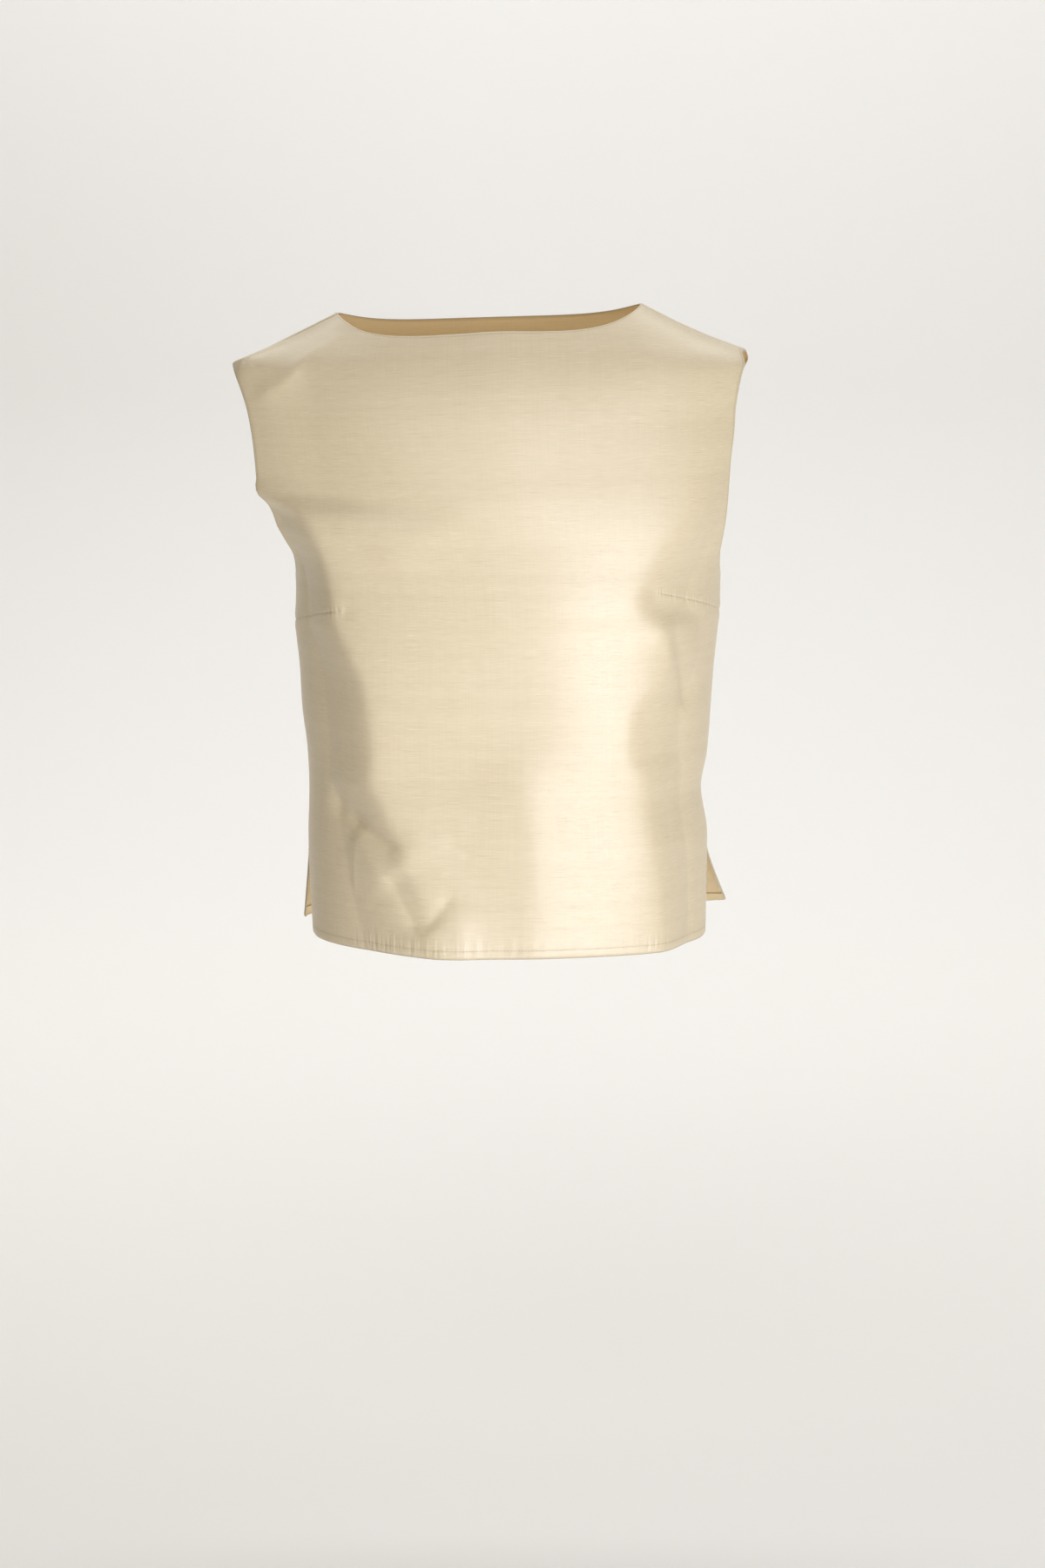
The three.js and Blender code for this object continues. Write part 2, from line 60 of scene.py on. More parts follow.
SEAM_GAP = 0.1
TIP_HALF, TIP_HEIGHT = 193.0, -37.0  # the shoulders' outer ends
CREST = 10.0  # above the highest cloth
NECK_HALF = 114.0
NECK_DROP = {FRONT: 17.0, BACK: 9.0}
NECK_FLATNESS = 5.0
UNDERARM, SLIT_TOP, HEM = -200.0, -410.0, -475.0
SQUARENESS = 2.2
BOXY_GIRTH = 1.03  # girth of the boxy trunk over that of a round one as wide and deep
ARMHOLE_REACH = {FRONT: 52.0, BACK: 44.0}
ARMHOLE_FULLNESS = 0.8
SHOULDER_SEAM_FORWARD = 10.0
LEFT_SHOULDER_SAG = 2.0
LEAN_ASIDE, LEAN_TILT, LEAN_FROM, LEAN_TO = 14.0, 0.03, -230.0, -60.0
GIRTH_PER_DEGREE = 2.25  # cloth that one degree of turn takes up
NECK_SHARE = 0.58  # share of a panel's columns that end at the neckline

# Powers by which a panel's grid bends: its rows to the armhole's edge, the draw of the dart to nothing at
# the side seam, and the armhole's edge to the end of the shoulder seam.
ROW_BEND, SEAM_HOLD, TIP_BEND = 3, 6, 8

Section = namedtuple("Section", "height left right front back")
SECTIONS = (
    Section(0, 114, 114, 46, 44),
    Section(-37, 193, 193, 77, 70),
    Section(-48, 203, 194, 84, 77),
    Section(-66, 204, 193, 93, 85),
    Section(-88, 202, 192, 101, 92),
    Section(-115, 195, 190.5, 108, 98),
    Section(-142, 187, 184.5, 114, 101),
    Section(-156, 181, 180, 117, 102),
    Section(-170, 174, 171.5, 119, 102),
    Section(-183, 167.5, 163.5, 120, 101),
    Section(-200, 162.5, 160, 121, 100),
    Section(-235, 160, 161.5, 122, 98),
    Section(-270, 156.5, 158.5, 120, 96),
    Section(-300, 154.5, 157, 118, 95),
    Section(-335, 152, 153, 115, 94),
    Section(-363, 147.5, 152, 114, 94),
    Section(-400, 152.5, 153, 113, 97),
    Section(-475, 152, 150.5, 113, 101),
)

# Below its top each slit opens: the front corner swings in, the back corner swings out, back and up.
Slit = namedtuple("Slit", "front_in front_forward back_out back_away back_lift")
SLITS = {1: Slit(1, 12, 18, 34, 16), -1: Slit(1, 9, 8, 14, 6)}
SLIT_REACH = {FRONT: 0.45, BACK: 0.85}  # share of each half face that swings with its corner
SLIT_BEND_DOWN = {FRONT: 1.4, BACK: 1.15}  # powers by which the swing grows down to the corner
SLIT_BEND_ACROSS = {FRONT: 2, BACK: 1.5}  # and across to it

# Bust darts: where each ends, as turn and height, and its height at the side seam.
Dart = namedtuple("Dart", "tip_turn tip_height seam_height")
DARTS = {1: Dart(37.5, -203, -229), -1: Dart(41.5, -217, -236)}
DART_HEIGHT, DART_SPREAD = -222.0, 26.0  # the row that is drawn to the darts, and how far others follow
DART_FREE = 20.0  # below the underarm the rows come free of it over this much

# Ridges that run down the garment: the edges where its flat front or back turns to the sides. inside and
# outside are how far their slopes run towards the centre line and the side seam.
Ridge = namedtuple("Ridge", "height turn rise inside outside")
RIGHT_FRONT_RIDGE = (
    Ridge(-119, -66, 0, 65, 22),
    Ridge(-130, -60, 5, 65, 24),
    Ridge(-139, -51, 10, 70, 28),
    Ridge(-147, -46, 13, 75, 32),
    Ridge(-161, -44.5, 14, 80, 38),
    Ridge(-193, -46.5, 15, 85, 43),
    Ridge(-230, -44, 15, 85, 44),
    Ridge(-247, -40, 15, 85, 44),
    Ridge(-279, -35.5, 15, 80, 46),
    Ridge(-317, -34.5, 15, 75, 48),
    Ridge(-343, -36, 14.5, 68, 49),
    Ridge(-366, -31.5, 14, 68, 50),
    Ridge(-401, -27, 13, 68, 50),
    Ridge(-430, -23, 12, 60, 52),
    Ridge(-475, -17, 12, 60, 54),
)
LEFT_FRONT_RIDGE = (
    Ridge(-78, 58, 0, 80, 35),
    Ridge(-100, 52, 4, 95, 38),
    Ridge(-130, 47, 8, 120, 40),
    Ridge(-154, 43.5, 10, 130, 42),
    Ridge(-187, 36.5, 11, 140, 44),
    Ridge(-212, 32, 11.5, 145, 44),
    Ridge(-221, 34, 11.5, 145, 44),
    Ridge(-230, 40, 11.5, 145, 44),
    Ridge(-248, 43.5, 11.5, 145, 42),
    Ridge(-269, 40, 11.5, 145, 42),
    Ridge(-299, 31.5, 11.5, 135, 46),
    Ridge(-320, 31.5, 11.5, 130, 46),
    Ridge(-346, 37, 12, 125, 44),
    Ridge(-386, 39, 12, 120, 42),
    Ridge(-432, 41.5, 12, 120, 40),
    Ridge(-475, 43.5, 12, 120, 38),
)
RIGHT_BACK_RIDGE = (
    Ridge(-90, -60, 0, 60, 50),
    Ridge(-140, -54, 6, 70, 60),
    Ridge(-230, -45, 8, 70, 75),
    Ridge(-320, -38, 6, 60, 80),
    Ridge(-380, -42, 7, 70, 80),
    Ridge(-475, -47, 9, 75, 70),
)
LEFT_BACK_RIDGE = (
    Ridge(-80, 62, 0, 60, 50),
    Ridge(-135, 56, 6, 70, 60),
    Ridge(-215, 49, 8, 70, 75),
    Ridge(-300, 36, 7, 60, 85),
    Ridge(-375, 35, 6, 60, 85),
    Ridge(-475, 44, 8, 75, 75),
)
RIDGES = {FRONT: (RIGHT_FRONT_RIDGE, LEFT_FRONT_RIDGE), BACK: (RIGHT_BACK_RIDGE, LEFT_BACK_RIDGE)}
RIDGE_ROUND = 5.5
RIDGE_CURVE_INSIDE, RIDGE_CURVE_OUTSIDE = 1.8, 1.3  # powers by which their slopes flatten out
SEAM_FADE = 8.0  # degrees over which ridges and folds die away before the side seam

# Folds between two places, each given as (turn, height). They bow sideways by bow millimetres and die
# away over width to each side. A rise below nought is a hollow.
Fold = namedtuple("Fold", "start end bow width rise")
FOLDS = {
    FRONT: (
        Fold((-62, -360), (-23, -402), -1, 9, -2.6),  # hollow under the right hip
        Fold((-47, -382), (-29, -424), 2, 10, 1.8),  # roll below it
        Fold((-30, -408), (-20, -458), -2, 8, -3),  # hollow down to the hem
        Fold((-33.5, -186), (-1, -132), 4, 12, 1.6),  # soft drag up to the chest
        Fold((44, -226), (60, -300), 3, 9, -3.5),  # hollow down the left side
        Fold((-69, -12), (-64, -152), 0, 30, 8),  # chest flat up to the right armhole
        Fold((-42, 40), (-40, -190), 0, 34, -2.5),
        Fold((2.5, 20), (2, -175), 0, 38, 5),  # soft edge down the chest
        Fold((2.5, -300), (8.5, -560), 0, 38, 6.5),  # and down to the hem
    ),
    BACK: (
        Fold((-3, -250), (4, -475), 6, 34, -6),
        Fold((62, -330), (22, -372), 6, 15, -3.5),
        Fold((-58, -300), (-30, -352), -5, 14, -3.5),
    ),
}
FOLD_ROUND = 7.0
FOLD_FADE = 0.22  # share of a fold's length over which each end dies away

# Sharp creases that only the cloth shows, along paths of (turn, height). left and right are how far their
# slopes run to each side, seen along the path, and round softens their line.
Crease = namedtuple("Crease", "path left right round rise")
CREASES = {
    FRONT: (
        Crease(((-66, -357), (-44, -379), (-24.5, -399)), 13, 5, 0.8, -1.6),  # under the right hip
        Crease(((-53, -370), (-39, -384), (-25, -399)), 11, 4, 0.6, -2.6),
        Crease(((-44, -390), (-46, -412), (-46.5, -437)), 4, 3, 0.8, 0.6),
        Crease(((-16, -386), (-12, -392), (-6, -398)), 3.5, 3, 0.6, -0.9),
        Crease(((-22, -460), (-18, -445), (-12, -424)), 5, 6, 0.8, -2.4),
        Crease(((-13, -430), (-11, -462), (-8, -520)), 9, 22, 5, 2.2),  # roll beside the hem's crease
        Crease(((-36, -405), (-28, -432), (-21, -470)), 12, 5, 0.9, -2.2),
        Crease(((-52.5, -13), (-46, -33), (-49.5, -48), (-63, -63)), 9, 6, 1.2, 2.4),  # at the shoulder
        Crease(((-43, -20), (-40, -32), (-38, -44)), 7, 6, 1.5, 0.7),
        Crease(((37, -212), (40.5, -235), (50, -271), (60, -312)), 9, 15, 1.2, 2.2),  # below the left dart
    ),
    BACK: (
        Crease(((58, -325), (44, -342), (28, -352)), 8, 6, 1.2, -1.6),
        Crease(((-60, -300), (-47, -322), (-30, -334)), 6, 8, 1.2, -1.4),
        Crease(((-46, -395), (-43, -420), (-44, -446)), 5, 5, 1.0, 0.9),
        Crease(((8, -398), (13, -412), (20, -420)), 4, 4, 0.9, -0.7),
    ),
}
CREASE_FADE = 0.28
CREASE_STEPS = 48  # points along a crease's path
CREASE_FAR = 6  # times its reach, beyond which a crease is too faint to count


def mix(a, b, share):
    return a + (b - a) * share


def ease(share):
    share = np.clip(share, 0.0, 1.0)
    return share * share * (3 - 2 * share)


def bell(away, width):
    """A smooth share that is 1 in the middle and dies away over width to each side."""
    return np.exp(-((away / width) ** 2))


def signed_power(value, power):
    return np.sign(value) * np.abs(value) ** power


def smooth_column(heights, values):
    """A smooth curve through a table's column that never overshoots its rows, as a function of height."""
    x = np.array(heights, float)[::-1]
    y = np.array(values, float)[::-1]
    slope = np.diff(y) / np.diff(x)
    tangent = np.concatenate(([slope[0]], np.zeros(len(x) - 2), [slope[-1]]))
    product = slope[:-1] * slope[1:]
    total = slope[:-1] + slope[1:]
    ok = product > 0
    tangent[1:-1][ok] = 2 * product[ok] / total[ok]

    def read(height):
        height = np.clip(height, x[0], x[-1])
        at = np.clip(np.searchsorted(x, height, side="right") - 1, 0, len(x) - 2)
        span = x[at + 1] - x[at]
        f = (height - x[at]) / span
        square, cube = f * f, f * f * f
        return (
            (2 * cube - 3 * square + 1) * y[at]
            + (cube - 2 * square + f) * tangent[at] * span
            + (3 * square - 2 * cube) * y[at + 1]
            + (cube - square) * tangent[at + 1] * span
        )

    return read


SECTION_CURVES = {
    name: smooth_column([row.height for row in SECTIONS], [getattr(row, name) for row in SECTIONS])
    for name in ("left", "right", "front", "back")
}
RIDGE_CURVES = {
    face: [
        {name: smooth_column([r.height for r in ridge], [getattr(r, name) for r in ridge])
         for name in ("turn", "rise", "inside", "outside")}
        for ridge in ridges
    ]
    for face, ridges in RIDGES.items()
}


def half_width(side, height):
    table = np.where(side > 0, SECTION_CURVES["left"](height), SECTION_CURVES["right"](height))
    return np.where(height > TIP_HEIGHT, mix(NECK_HALF, TIP_HALF, height / TIP_HEIGHT), table)


def depth_at(face, height):
    front, back = SECTION_CURVES["front"](height), SECTION_CURVES["back"](height)
    return np.where(face == FRONT, front, back)


def figure_point(face, side, swing, height):
    """A point of the plain form. swing goes from 0 at the centre line to 90 at the side seam."""
    angle = np.radians(swing)
    beyond = np.where(swing > QUARTER, -face, face)
    power = 2 / SQUARENESS
    x = side * half_width(side, height) * signed_power(np.sin(angle), power)
    y = face * depth_at(beyond, height) * signed_power(np.cos(angle), power)
    return np.stack([x, y, height + 0 * x], axis=-1)


def unit(vectors):
    return vectors / np.linalg.norm(vectors, axis=-1, keepdims=True)


def figure_normal(face, side, swing, height, step=0.8):
    across = figure_point(face, side, swing + step, height) - figure_point(face, side, swing - step, height)
    up = figure_point(face, side, swing, height + step) - figure_point(face, side, swing, height - step)
    return unit(np.cross(across, up)) * (-face * side)[..., None]


def fold_rise(fold, turn, height):
    run_across = (fold.end[0] - fold.start[0]) * GIRTH_PER_DEGREE
    run_up = fold.end[1] - fold.start[1]
    length = math.hypot(run_across, run_up)
    across = (turn - fold.start[0]) * GIRTH_PER_DEGREE
    up = height - fold.start[1]
    along = (across * run_across + up * run_up) / length**2
    aside = (across * run_up - up * run_across) / length - fold.bow * 4 * along * (1 - along)
    crest = np.exp(-(np.hypot(aside, FOLD_ROUND) - FOLD_ROUND) / fold.width)
    fade = ease(along / FOLD_FADE) * ease((1 - along) / FOLD_FADE)
    return fold.rise * crest * fade


def crease_rise(crease, turn, height):
    """Height of a crease over the cloth: a sharp line along its path that dies away to each side."""
    knots = np.array(crease.path, float) * (GIRTH_PER_DEGREE, 1)
    curves = np.polyfit(np.linspace(0, 1, len(knots)), knots, len(knots) - 1)
    path = np.stack([np.polyval(curve, np.linspace(0, 1, CREASE_STEPS)) for curve in curves.T], axis=-1)
    way = unit(np.gradient(path, axis=0))
    run = np.concatenate([[0], np.cumsum(np.linalg.norm(np.diff(path, axis=0), axis=-1))])
    place = np.stack([turn * GIRTH_PER_DEGREE, height + 0 * turn], axis=-1)
    far = CREASE_FAR * max(crease.left, crease.right)
    near = np.all((place > path.min(axis=0) - far) & (place < path.max(axis=0) + far), axis=-1)
    gap = place[near][:, None] - path
    closest = np.argmin((gap**2).sum(axis=-1), axis=1)
    gap, way = gap[np.arange(len(gap)), closest], way[closest]
    aside = way[:, 0] * gap[:, 1] - way[:, 1] * gap[:, 0]
    along = (run[closest] + (way * gap).sum(axis=-1)) / run[-1]
    reach = np.where(aside > 0, crease.left, crease.right)
    crest = np.exp(-(np.hypot(aside, crease.round) - crease.round) / reach)
    rise = np.zeros(np.shape(turn))
    rise[near] = crease.rise * crest * ease(along / CREASE_FADE) * ease((1 - along) / CREASE_FADE)
    return rise


def ridge_rise(ridge, turn, height):
    beside = (turn - ridge["turn"](height)) * GIRTH_PER_DEGREE
    outwards = beside * np.sign(ridge["turn"](height)) > 0
    spread = np.where(outwards, ridge["outside"](height), ridge["inside"](height))
    fall = (np.hypot(beside, RIDGE_ROUND) - RIDGE_ROUND) / spread
    curve = np.where(outwards, RIDGE_CURVE_OUTSIDE, RIDGE_CURVE_INSIDE)
    return ridge["rise"](height) * np.clip(1 - fall, 0, 1) ** curve


def lean(point):
    """Moves the upper part aside, tilts it and lets one shoulder sag, with the trunk left upright."""
    x, y, z = point[..., 0], point[..., 1], point[..., 2]
    share = ease((z - LEAN_FROM) / (LEAN_TO - LEAN_FROM))
    along = np.clip((np.abs(x) - NECK_HALF) / (TIP_HALF - NECK_HALF), 0, 1)
    sag = np.where(x > 0, LEFT_SHOULDER_SAG, 0) * np.sin(np.pi * along)
    return np.stack([x + LEAN_ASIDE * (1 - share), y, z + (LEAN_TILT * x - sag) * share], axis=-1)


def slit_swing(point, face, side, swing):
    """Moves the corners beside the slits: the front's in and forward, the back's out, away and up."""
    below = np.clip((SLIT_TOP - point[..., 2]) / (SLIT_TOP - HEM), 0, 1)
    beside = np.clip((swing / QUARTER - 1 + SLIT_REACH[face]) / SLIT_REACH[face], 0, 1)
    share = below ** SLIT_BEND_DOWN[face] * beside ** SLIT_BEND_ACROSS[face]
    value = {
        name: np.where(side > 0, getattr(SLITS[1], name), getattr(SLITS[-1], name)) for name in Slit._fields
    }
    if face == FRONT:
        shift = [-side * value["front_in"], -value["front_forward"], 0 * side]
    else:
        shift = [side * value["back_out"], value["back_away"], value["back_lift"]]
    return point + np.stack(shift, axis=-1) * share[..., None]


def cloth_point(face, turn, height, fine=False):
    """The cloth's outer surface at signed turns and heights, in millimetres."""
    side = np.where(turn < 0, -1.0, 1.0)
    swing = np.abs(turn)
    point = figure_point(face, side, swing, height)
    normal = figure_normal(face, side, swing, height)
    rise = sum(fold_rise(fold, turn, height) for fold in FOLDS[face])
    rise = rise + sum(ridge_rise(ridge, turn, height) for ridge in RIDGE_CURVES[face])
    rise = rise * ease((QUARTER - swing) / SEAM_FADE)
    if fine:
        rise = rise + fine_shape(face, turn, height)
    point = point + normal * rise[..., None]
    return lean(slit_swing(point, face, side, swing))


def cloth_normal(face, turn, height, step=0.5):
    across = cloth_point(face, turn + step, height, True) - cloth_point(face, turn - step, height, True)
    up = cloth_point(face, turn, height + step, True) - cloth_point(face, turn, height - step, True)
    return unit(np.cross(across, up)) * -face


def neckline_height(face, across):
    return -NECK_DROP[face] * (1 - np.abs(across / NECK_HALF) ** NECK_FLATNESS)


def turn_at(face, forward, height):
    """Turn from this face's centre line to a place at a distance in front of the side line."""
    beyond = np.where(forward < 0, -face, face)
    return np.degrees(np.arccos(signed_power(forward / depth_at(beyond, height), SQUARENESS / 2)))


def seam_forward(face):
    return SEAM_GAP / 2 + (SHOULDER_SEAM_FORWARD if face == FRONT else -SHOULDER_SEAM_FORWARD)


def column_top(face, share):
    """Where columns end at the top, on the neckline or the shoulder seam, as turns and heights."""
    along = np.clip((share - NECK_SHARE) / (1 - NECK_SHARE), 0, 1)
    seam_height = TIP_HEIGHT * along
    seam_turn = turn_at(face, seam_forward(face) + 0 * share, seam_height)
    neck_end = turn_at(face, np.array(seam_forward(face)), np.array(0.0))
    turn = np.minimum(share / NECK_SHARE, 1) * neck_end
    across = NECK_HALF * np.sin(np.radians(np.minimum(turn, QUARTER))) ** (2 / SQUARENESS)
    neck_height = np.where(turn >= QUARTER, 0, neckline_height(face, across))
    sine = np.clip(across / half_width(1.0, neck_height), 0, 1) ** (SQUARENESS / 2)
    neck_turn = np.where(turn >= QUARTER, turn, np.degrees(np.arcsin(sine)))
    on_seam = share >= NECK_SHARE
    return np.where(on_seam, seam_turn, neck_turn), np.where(on_seam, seam_height, neck_height)


def armhole_edge(face, share):
    height = mix(UNDERARM, TIP_HEIGHT, (1 - np.cos(np.pi * share)) / 2)
    swing = ARMHOLE_REACH[face] * np.clip(np.sin(np.pi * share), 0, None) ** ARMHOLE_FULLNESS
    return turn_at(face, swing + mix(SEAM_GAP / 2, seam_forward(face), share**TIP_BEND), height), height


def quarter_girth(face, side, height):
    radius = np.hypot(half_width(side, height), depth_at(face, height)) * math.sqrt(0.5)
    return BOXY_GIRTH * (math.pi / 2) * radius


def dart_line(turn):
    """Height of the dart's line on this side at a turn, and the turn of its tip."""
    swing = np.abs(turn)

    def line(dart):
        past = np.clip((swing - dart.tip_turn) / (QUARTER - dart.tip_turn), 0, 1)
        return mix(dart.tip_height, dart.seam_height, past), dart.tip_turn

    left, right = line(DARTS[1]), line(DARTS[-1])
    return np.where(turn > 0, left[0], right[0]), np.where(turn > 0, left[1], right[1])


def dart_draw(turn, level):
    """How far a row of the front is drawn up or down at a place, to run along the darts."""
    line, tip = dart_line(turn)
    return (line - DART_HEIGHT) * ease(np.abs(turn) / tip) * bell(level - DART_HEIGHT, DART_SPREAD)


def panel_place(face, column, row):
    """Turn and height of panel coordinates. column runs from -1 to 1 between the side seams. row runs from
    0 at the hem to 1 at the underarm and 2 at the top."""
    share, side = np.abs(column), np.where(column < 0, -1.0, 1.0)
    level = mix(HEM, UNDERARM, np.minimum(row, 1))
    trunk_turn = share * turn_at(face, SEAM_GAP / 2 + 0 * level, level)
    rise = np.clip(row - 1, 0, 1)

    def reach(turn, height):
        return quarter_girth(face, side, height) * turn / QUARTER

    top, edge = column_top(face, share), armhole_edge(face, rise)
    tip, start = column_top(face, np.ones_like(share)), armhole_edge(face, np.zeros_like(rise))
    height = mix(UNDERARM, top[1], rise) + share**ROW_BEND * (edge[1] - mix(UNDERARM, tip[1], rise))
    swing = reach(*edge) - mix(reach(*start), reach(*tip), rise)
    along = mix(share * reach(*start), reach(*top), rise) + share * swing
    yoke_turn = QUARTER * along / quarter_girth(face, side, height)
    in_trunk = row <= 1
    turn, height = side * np.where(in_trunk, trunk_turn, yoke_turn), np.where(in_trunk, level, height)
    free = np.where(in_trunk, ease((UNDERARM - level) / DART_FREE), 0)
    drawn = dart_draw(turn, height) * mix(1, free, share**SEAM_HOLD) if face == FRONT else 0
    return turn, height + drawn


# Fine shape that only the cloth shows: the pull of the darts, the puckers of the hem, and the edges and
# seams rolling in. Sizes are in millimetres.

DART_SINK, DART_WIDTH = 0.5, 0.8
DART_PUFF, DART_PUFF_AWAY, DART_PUFF_WIDE = 0.35, 5.0, 4.0  # the full cloth beside a dart's line
DART_START = 6.0  # degrees from its tip over which a dart begins
DIMPLE, DIMPLE_LONG, DIMPLE_WIDE = 0.7, 7.0, 6.0  # the small hollow at a dart's tip
DART_PUCKER_START, DART_PUCKER_WIDE = 3.0, 3.5

# Patches where the hem's stitching puckers the cloth, by turn and width in degrees.
Patch = namedtuple("Patch", "turn width share")
PUCKER_PATCHES = (Patch(-31, 15, 1.0), Patch(42, 4, 0.7))
PUCKER_ELSEWHERE = 0.12
PUCKER_UP, PUCKER_TALL = 5.0, 8.0

# Waves of the gathered hem. Each drifts by sway radians over a longer wave.
Wave = namedtuple("Wave", "length sway sway_length share")
HEM_WAVES = (Wave(6.1, 1.3, 23, 1.0), Wave(9.7, 2.0, 41, 0.7))
HEM_PULL, HEM_PULL_UP, HEM_PULL_TALL = 0.13, 8.0, 7.0
HEM_PULL_LEAST, HEM_PULL_LENGTH, HEM_PULL_START = 0.35, 31.0, 2.2  # it swells and fades along the hem
BACK_HEM_SHIFT = 13.0  # degrees, so that the back's waves differ from the front's

BOUND_ROLL, FOLD_ROLL, SEAM_ROLL = 1.3, 0.9, 0.55  # neck and armholes, hem and slits, seams
ROLL_WIDTH = 1.1
EDGE_STITCH, HEM_STITCH, SLIT_STITCH = 3.0, 6.5, 7.0
STITCH_SINK, STITCH_SINK_WIDTH = 0.25, 0.55
HEM_SINK_SHARE = 0.5  # the hem's looser stitches sink less
STITCH_LIFT = 0.08
# Weights of the painted shade that darkens the silk along the stitch lines and the dart lines, as shade
# would.
STITCH_PAINTED_SHADE, DART_PAINTED_SHADE = 0.7, 0.12  # how dark their lines are beside a pressed edge
TURNING_WIDE, TURNING_GAP = 8.2, 0.12
TURNING_SLACK = 1.2  # a slit's turning may end on a column this much further in
TURNING_THICK = 0.8  # of the cloth's thickness
SLIT_CLEAR = 1.0  # turnings and stitches end this far below a slit's top
HEM_ENDS = 3  # columns at each end that the hem's stitches leave free


def dart_pull(turn, height):
    """The sewn dart: a line that sinks, full cloth at its sides and a dimple at its tip."""
    line, tip = dart_line(turn)
    past, away = np.abs(turn) - tip, height - line
    near = np.exp(-np.abs(away) / DART_WIDTH)
    beside = bell(np.abs(away) - DART_PUFF_AWAY, DART_PUFF_WIDE)
    dimple = DIMPLE * bell(past * GIRTH_PER_DEGREE, DIMPLE_LONG) * bell(away, DIMPLE_WIDE)
    return ease(past / DART_START) * (DART_PUFF * beside - DART_SINK * near) - dimple


def pucker_share(face, turn, height):
    """How strongly the stitching puckers the cloth: along the hem in patches, and at the darts."""
    patches = sum(patch.share * bell(turn - patch.turn, patch.width) for patch in PUCKER_PATCHES)
    share = (patches + PUCKER_ELSEWHERE) * bell(height - HEM - PUCKER_UP, PUCKER_TALL)
    if face == FRONT:
        line, tip = dart_line(turn)
        past = (np.abs(turn) - tip) / DART_PUCKER_START
        share = share + ease(past) * bell(height - line, DART_PUCKER_WIDE)
    return np.clip(share, 0, 1)


def hem_pull(turn, height):
    """Small vertical puckers where the hem's stitching gathers the cloth a little, uneven along it."""
    along = turn * GIRTH_PER_DEGREE
    waves = sum(
        wave.share * np.sin(2 * np.pi * along / wave.length + wave.sway * np.sin(along / wave.sway_length))
        for wave in HEM_WAVES
    )
    swell = (0.5 + 0.5 * np.sin(along / HEM_PULL_LENGTH + HEM_PULL_START)) ** 2
    pull = HEM_PULL * mix(HEM_PULL_LEAST, 1, swell)
    return pull * waves * bell(height - HEM - HEM_PULL_UP, HEM_PULL_TALL)


def fine_shape(face, turn, height):
    """Everything that only the cloth shows, in millimetres over the part's form."""
    creases = sum(crease_rise(crease, turn, height) for crease in CREASES[face])
    darts = dart_pull(turn, height) if face == FRONT else 0
    return creases + darts + hem_pull(turn if face == FRONT else turn + BACK_HEM_SHIFT, height)


# A panel's columns and rows crowd together at its edges, where the cloth turns in and the stitches lie, and
# beside the darts.
PANEL_COLUMNS, ROW_STEP = 250, 3.2
EDGE_STEPS = (0.0, 0.5, 1.1, 1.9, 2.6, 3.0, 3.4, 4.4)
HEM_STEPS = (0.0, 0.5, 1.1, 2.0, 3.4, 5.0, 5.9, 6.5, 7.1, TURNING_WIDE)
DART_STEPS = (0, 0.4, 0.8, 1.3, 1.9, 2.7, 3.8, 5.2, 7, 9)
HALF_LENGTH = 240.0
YOKE_LENGTH = 178.0


def panel_columns(count):
    near = [1 - step / HALF_LENGTH for step in EDGE_STEPS]
    inner = np.linspace(-near[-1], near[-1], count)[1:-1]
    return np.concatenate([[-share for share in near], inner, near[::-1]])


def panel_rows(step):
    """Rows from the hem to the top, closest at the hem, along the darts and at the top edge."""
    def steps(low, high, gap):
        return np.linspace(low, high, max(2, round((high - low) / gap)) + 1)

    low = HEM + HEM_STEPS[-1]
    below_dart = [DART_HEIGHT - away for away in DART_STEPS[:0:-1]]
    near_dart = below_dart + [DART_HEIGHT + away for away in DART_STEPS]
    trunk = np.concatenate([
        [HEM + up for up in HEM_STEPS],
        steps(low, near_dart[0], step)[1:-1],
        near_dart,
        steps(near_dart[-1], UNDERARM, step)[1:],
    ])
    yoke = [2 - down / YOKE_LENGTH for down in EDGE_STEPS]
    return np.concatenate([
        (trunk - HEM) / (UNDERARM - HEM),
        np.linspace(1, yoke[-1], round(YOKE_LENGTH / step))[1:-1],
        yoke[::-1],
    ])


def cloth_up(height):
    """Length of cloth up the centre front to a height, in millimetres, for the weave's scale."""
    levels = np.linspace(HEM, CREST, 400)
    run = np.hypot(np.diff(levels), np.diff(SECTION_CURVES["front"](levels)))
    return np.interp(height, levels, np.concatenate([[0], np.cumsum(run)]))


def distance_from(points, axis, from_end):
    """How far each point of a grid lies from its first or last row or column, along the cloth."""
    gap = np.linalg.norm(np.diff(points, axis=axis), axis=-1)
    if from_end:
        gap = np.flip(gap, axis)
    run = np.cumsum(gap, axis=axis)
    first = np.zeros_like(np.take(run, [0], axis=axis))
    run = np.concatenate([first, run], axis=axis)
    return np.flip(run, axis) if from_end else run


